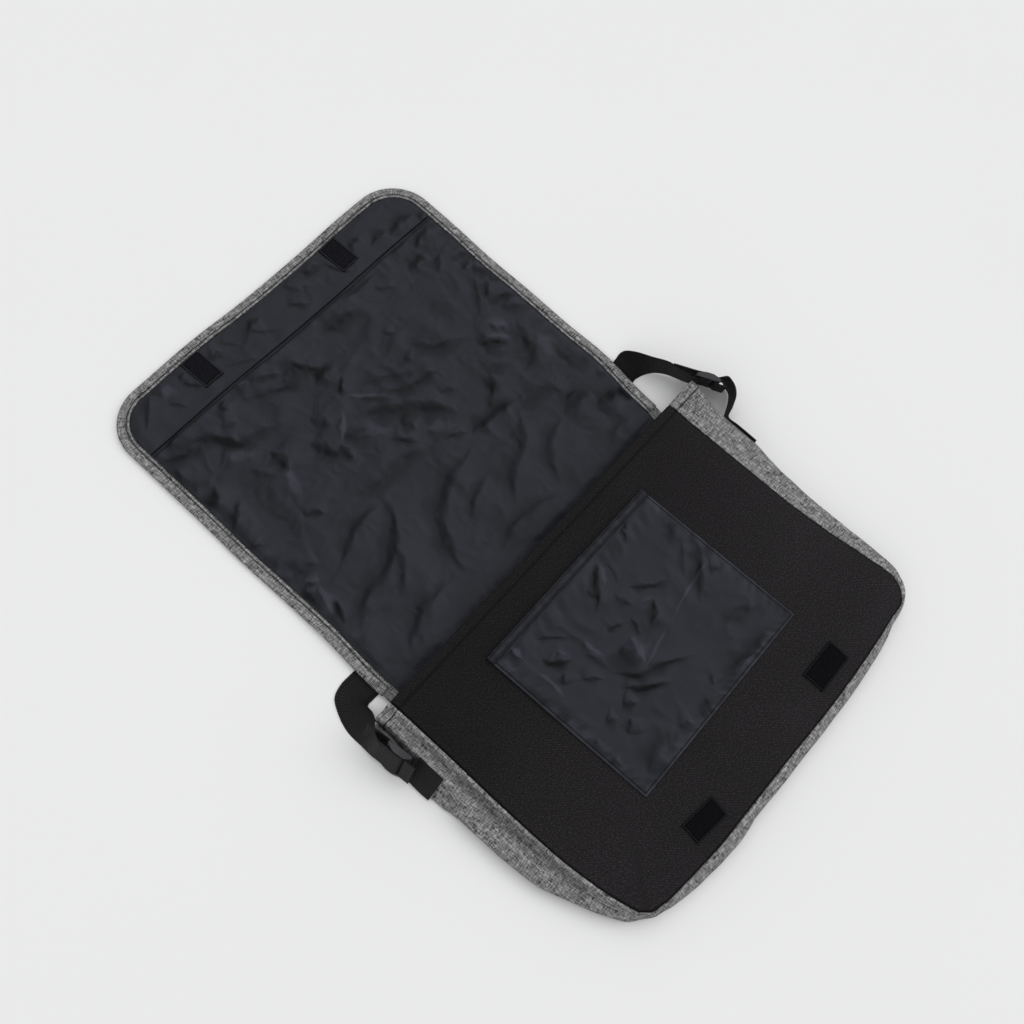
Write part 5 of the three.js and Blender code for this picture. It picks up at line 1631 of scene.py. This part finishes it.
def flat_stations():
    spots = np.array([(x * HALF, y * FLAP_LENGTH, STRAP_FLAT) for x, y in STRAP_LOOP])
    made = []
    for i, middle in enumerate(spots):
        before, after = spots[max(0, i - 1)], spots[min(len(spots) - 1, i + 1)]
        across = unit((before[1] - after[1], after[0] - before[0], 0))
        made.append((middle + across * WEBBING_WIDTH / 2, middle - across * WEBBING_WIDTH / 2))
    return made


BAR_WRAP = 2.9
TURN_AT = 3.0
STRAP_LEAD = 9.0


def strap_end(buckle, face, tail):
    """The strap goes over the first bar and round the middle one, and comes back to its sewn tail."""
    arc = [(TURN_AT + BAR_WRAP * math.sin(a), BUCKLE_BOW + face * BAR_WRAP * math.cos(a)) for a in HALF_TURN]
    places = [
        (-BAR_PITCH - STRAP_LEAD, face * (WRAP + 0.2)),
        (-BAR_PITCH, face * (WRAP + STAND_OFF)),
        (-TURN_AT, BUCKLE_BOW + face * BAR_WRAP),
        *arc,
        (-TURN_AT, BUCKLE_BOW - face * BAR_WRAP),
        (-BAR_PITCH, -face * (WRAP + STAND_OFF)),
        (-BAR_PITCH - tail, -face * (WRAP + STAND_OFF)),
    ]
    return [at_buckle(buckle, along, out) for along, out in places]


BAND_STEP = 1.3


def webbing_band(name, stations, count, node):
    """Woven band through pairs of edge points, with rounded selvedges."""
    t = np.linspace(0, 1, count + 1)
    low = centripetal(np.array([s[0] for s in stations]), t)
    high = centripetal(np.array([s[1] for s in stations]), t)
    middle = (low + high) / 2
    far = distances(middle)
    places = np.linspace(0, far[-1], int(far[-1] / BAND_STEP) + 1)
    even = lambda a: np.stack([np.interp(places, far, a[:, i]) for i in range(3)], 1)
    low, high, middle = even(low), even(high), even(middle)
    ahead = np.gradient(middle, axis=0)
    wide = high - low
    wide /= np.linalg.norm(wide, axis=1, keepdims=True)
    face = np.cross(ahead, wide)
    face /= np.linalg.norm(face, axis=1, keepdims=True)
    half, edge = WEBBING_WALL / 2, WEBBING_WIDTH / 2
    across = np.linspace(-1, 1, 17)
    upper = [(a * (edge - 0.5), half * (1 if abs(a) < 0.99 else 0.86)) for a in across]
    selvedge = [(edge - 0.1, half * 0.5), (edge, 0), (edge - 0.1, -half * 0.5)]
    ring = upper + selvedge + [(a, -b) for a, b in reversed(upper)] + [(-a, -b) for a, b in selvedge]
    ring = np.array(ring)
    rings = middle[:, None, :] + wide[:, None, :] * ring[None, :, 0:1] + face[:, None, :] * ring[None, :, 1:2]
    rings[:, :, 2] = np.maximum(rings[:, :, 2], 0.02)
    threads = np.stack([ring[None, :, 0] + 0 * places[:, None], places[:, None] + 0 * ring[None, :, 0]], 2)
    band = tube(name, rings, threads)
    return finish_piece(band, WEBBING, [node])


SEWN_FOOT = 0.7
SEWN_SHOULDER = 0.43
SEWN_GAP = 0.95


def sewn_stations(shares):
    """Edges of webbing sewn on the gusset at these shares of the seam."""
    made = []
    step = 0.004
    middle = (SEWN_FOOT + SEWN_SHOULDER) / 2
    for share in shares:
        spots = gusset_grid(np.array([SEWN_FOOT, SEWN_SHOULDER, middle - step, middle + step]), [share])[0]
        _, _, ox, oy = seam_at(share)
        inward = unit(np.cross(spots[3] - spots[2], (float(oy), -float(ox), 0)))
        outward = -inward * (WEBBING_WALL / 2 + SEWN_GAP)
        made.append((spots[0] + outward, spots[1] + outward))
    return made


RIGHT_SEWN = (0.09, 0.078, 0.066, 0.053)
LEFT_SEWN = (0.918, 0.928, 0.938, 0.946)
RIGHT_FREE = [
    station(1, (45.5, -43, 1), (40.5, -46.5, 30)),
    station(1, (57.5, -38, 1), (53, -41.5, 30)),
    station(1, (66.5, -31.5, 1), (60, -35, 30)),
    station(1, (69, -25, 1.3), (63, -27, 31)),
]


def anchor_stations(buckle, shares, free, coming):
    reach = 6.5 if coming > 0 else 5
    near = at_buckle(buckle, BAR_PITCH + reach, coming * (WRAP + reach / 2))
    return sewn_stations(shares) + free + [near] + hairpin(buckle, BAR_PITCH, coming, 9)


MIDDLE_BAR = 2.2
RAIL_SWELL = 1.9
SWELL_SHARES = (0.85, 0.65, 0.42)
MOULD_STEP = 0.4


def moulded_blocks():
    """Rails, end bars and the broad middle bar of a tri-glide, as (low, high) corners in its own axes."""
    long, wide, thick = BUCKLE_LENGTH / 2, BUCKLE_WIDTH / 2, BUCKLE_THICKNESS / 2
    blocks = []
    for side in (-1, 1):
        rail = sorted((side * (wide - BUCKLE_SIDE), side * wide))
        blocks.append(((-long, rail[0], -thick), (long, rail[1], thick)))
        # The rail swells towards its middle into the long oval that shows from above
        for share in SWELL_SHARES:
            swell = thick + RAIL_SWELL * (1 - share * share)
            blocks.append(((-long * share, rail[0], -swell), (long * share, rail[1], swell)))
    for bar in (-1, 1):
        near, far = bar * BAR_PITCH - BUCKLE_BAR / 2, bar * BAR_PITCH + BUCKLE_BAR / 2
        blocks.append(((near, -wide, -thick), (far, wide, thick)))
    blocks.append(((-MIDDLE_BAR, -wide, -thick), (MIDDLE_BAR, wide, thick)))
    return blocks


def make_buckle(name, buckle, node):
    """Moulded tri-glide, run together with soft edges and bowed a little along its length."""
    points, faces = [], []
    for low, high in moulded_blocks():
        first = len(points)
        points += [(x, y, z) for x in (low[0], high[0]) for y in (low[1], high[1]) for z in (low[2], high[2])]
        for quad in ((0, 1, 3, 2), (4, 6, 7, 5), (0, 4, 5, 1), (2, 3, 7, 6), (0, 2, 6, 4), (1, 5, 7, 3)):
            faces.append([first + i for i in quad])
    obj = add_object(name, np.array(points) - SHIFT, faces)
    remesh = obj.modifiers.new("moulded", "REMESH")
    remesh.mode = "VOXEL"
    remesh.voxel_size = MOULD_STEP * MM
    soften = obj.modifiers.new("soft_edges", "SMOOTH")
    soften.factor = 0.6
    soften.iterations = 7
    bpy.context.view_layer.update()
    solid = bpy.data.meshes.new_from_object(obj.evaluated_get(bpy.context.evaluated_depsgraph_get()))
    obj.modifiers.clear()
    obj.data = solid
    spots = np.empty(len(solid.vertices) * 3)
    solid.vertices.foreach_get("co", spots)
    spots = spots.reshape(-1, 3) / MM
    bow = BUCKLE_BOW * (1 - (spots[:, 0] / BAR_PITCH) ** 2)
    placed_at = (buckle["centre"] + spots[:, :1] * buckle["run"] + spots[:, 1:2] * buckle["wide"]
                 + (spots[:, 2:] + bow[:, None]) * buckle["outward"] + SHIFT) * MM
    solid.vertices.foreach_set("co", placed_at.ravel())
    solid.polygons.foreach_set("use_smooth", [True] * len(solid.polygons))
    solid.update()
    face_outwards(obj)
    return finish_piece(obj, PLASTIC, [node])


def make_strap():
    """The strap, its two anchors and its two buckles."""
    # The edge of the band that is low at its right end is the high one at its left end
    right = (RIGHT_VISIBLE + strap_end(RIGHT_BUCKLE, -1, STRAP_TAIL))[::-1]
    left = [(high, low) for low, high in LEFT_VISIBLE + strap_end(LEFT_BUCKLE, 1, STRAP_TAIL)]
    webbing_band("strap_webbing", right + flat_stations() + left, 900, "shoulder_strap")
    webbing_band("strap_anchor_right_webbing", anchor_stations(RIGHT_BUCKLE, RIGHT_SEWN, RIGHT_FREE, 1), 300,
                 "strap_anchor_right")
    webbing_band("strap_anchor_left_webbing", anchor_stations(LEFT_BUCKLE, LEFT_SEWN, [], -1), 300,
                 "strap_anchor_left")
    make_buckle("buckle_right_moulding", RIGHT_BUCKLE, "strap_buckle_right")
    make_buckle("buckle_left_moulding", LEFT_BUCKLE, "strap_buckle_left")


make_strap()


# Stitching

def stitches(name, path, pitch, length, radius, material):
    """A row of lockstitches along a path in three dimensions, each a small bent length of thread."""
    path = resample(path, 0.5)
    far = distances(path)
    starts = np.arange(pitch / 2, far[-1] - length, pitch)
    sides, rings = 6, 5
    points, faces = [], []
    share = np.linspace(0, 1, rings)
    angles = np.linspace(0, 2 * math.pi, sides, endpoint=False)
    for start in starts:
        places = start + share * length
        spine = np.stack([np.interp(places, far, path[:, i]) for i in range(3)], 1)
        ahead = unit(spine[-1] - spine[0])
        side = unit(np.cross(ahead, (0, 0, 1)) if abs(ahead[2]) < 0.95 else np.cross(ahead, (1, 0, 0)))
        up = np.cross(side, ahead)
        sink = radius * 1.3 * (2 * share - 1) ** 4
        size = radius * (1 - 0.5 * (2 * share - 1) ** 6)
        first = len(points)
        for i in range(rings):
            centre = spine[i] - up * sink[i]
            for angle in angles:
                points.append(centre + (side * math.cos(angle) + up * math.sin(angle)) * size[i])
        for i in range(rings - 1):
            for j in range(sides):
                a, b = first + i * sides + j, first + i * sides + (j + 1) % sides
                faces.append((a, b, b + sides, a + sides))
        faces.append([first + j for j in range(sides)][::-1])
        faces.append([first + (rings - 1) * sides + j for j in range(sides)])
    obj = add_object(name, points, faces, np.zeros((len(points), 2)))
    return finish_piece(obj, material, [])


def on_surface(x, y, height, lift=0.12):
    x, y = np.asarray(x, float), np.asarray(y, float)
    return np.stack([x, y, height(x, y) + lift], 1)


STITCH_PITCH = 2.8
STITCH_LENGTH = 2.2
STITCH_RADIUS = 0.2
HEM_THREAD = 0.38


def sewn_line(name, path, thread, radius=STITCH_RADIUS):
    return stitches(name, path, STITCH_PITCH, STITCH_LENGTH, radius, thread)


def tape_border(lay):
    """Route of the stitches round a piece of tape."""
    inward_x, inward_y = TAPE_STITCH / lay["width"], TAPE_STITCH / lay["length"]
    across = np.array([-0.5 + inward_x, 0.5 - inward_x, 0.5 - inward_x, -0.5 + inward_x, -0.5 + inward_x])
    along = np.array([inward_y, inward_y, 1 - inward_y, 1 - inward_y, inward_y])
    size = np.array([lay["width"], lay["length"]])
    route = resample(np.stack([across, along], 1) * size, 1.0) / size
    x, y = tape_spot(lay, route[:, 0], route[:, 1])
    return on_surface(x, y, lay["height"], PATCH_WALL - 0.2)


LINE_ABOVE_FLOOR = 1.1


def gusset_line(along, place, lift):
    """A line on the gusset across it at one distance from its mouth."""
    row = int(np.argmin(np.abs(GUSSET_SHARES - along / SEAM_PATH)))
    columns = np.arange(int(place[0] * GUSSET_FACE.shape[1]), int(place[1] * GUSSET_FACE.shape[1]))
    line = GUSSET_FACE[row, columns] + GUSSET_NORMALS[row, columns] * lift
    return np.column_stack([line[:, :2], np.maximum(line[:, 2], LINE_ABOVE_FLOOR)])


def make_stitches():
    xs = np.linspace(-HALF + 4, HALF - 4, 300)
    path = on_surface(xs, 0 * xs - MOUTH_STITCH, front_top)
    sewn_line("mouth_stitches", path, BLACK_THREAD)

    x0 = POCKET_SHIFT - POCKET_WIDTH / 2 + POCKET_STITCH
    x1 = POCKET_SHIFT + POCKET_WIDTH / 2 - POCKET_STITCH
    y0, y1 = -POCKET_FROM_MOUTH - 1, -POCKET_FROM_MOUTH - POCKET_LENGTH + POCKET_STITCH
    route = resample(np.array([(x0, y0), (x0, y1), (x1, y1), (x1, y0)]), 1.0)
    path = on_surface(route[:, 0], route[:, 1], pocket_top)
    sewn_line("pocket_stitches", path, BLACK_THREAD)
    xs = np.linspace(x0, x1, 200)
    for number, at in enumerate(HEM_STITCHES, 1):
        path = on_surface(xs, 0 * xs - POCKET_FROM_MOUTH - at, hem_top)
        sewn_line("hem_stitches_" + str(number), path, BLACK_THREAD)

    line = binding_path(BINDING_STEP)
    line = line + path_normals(line) * BINDING_STITCH
    top = flap_height(line[:, 0], line[:, 1]) + FLAP_WALL + LAYER_GAP + BINDING_WALL
    sewn_line("binding_stitches", np.column_stack([line, top - 0.05]), DARK_THREAD)

    across = np.linspace(0.01, 0.99, 300)
    x, y = flap_spot(across, 0 * across + FACING_START - PRESSED_LINE, LINING_INSET)
    nylon = lambda x, y: flap_height(x, y) + NYLON_UNDER + LINING_WALL + lining_relief(x, y)[0]
    sewn_line("facing_stitches", on_surface(x, y, nylon), BLACK_THREAD)

    for name, along in (("right", GUSSET_HEM), ("left", SEAM_PATH - GUSSET_HEM)):
        path = gusset_line(along, (0.05, 0.8), 0.2)
        sewn_line("gusset_hem_stitches_" + name, path, BLACK_THREAD, HEM_THREAD)

    for lay in tape_lays():
        side = lay["node"].rsplit("_", 1)[1]
        sewn_line(lay["name"] + "_stitches_" + side, tape_border(lay), BLACK_THREAD)


make_stitches()
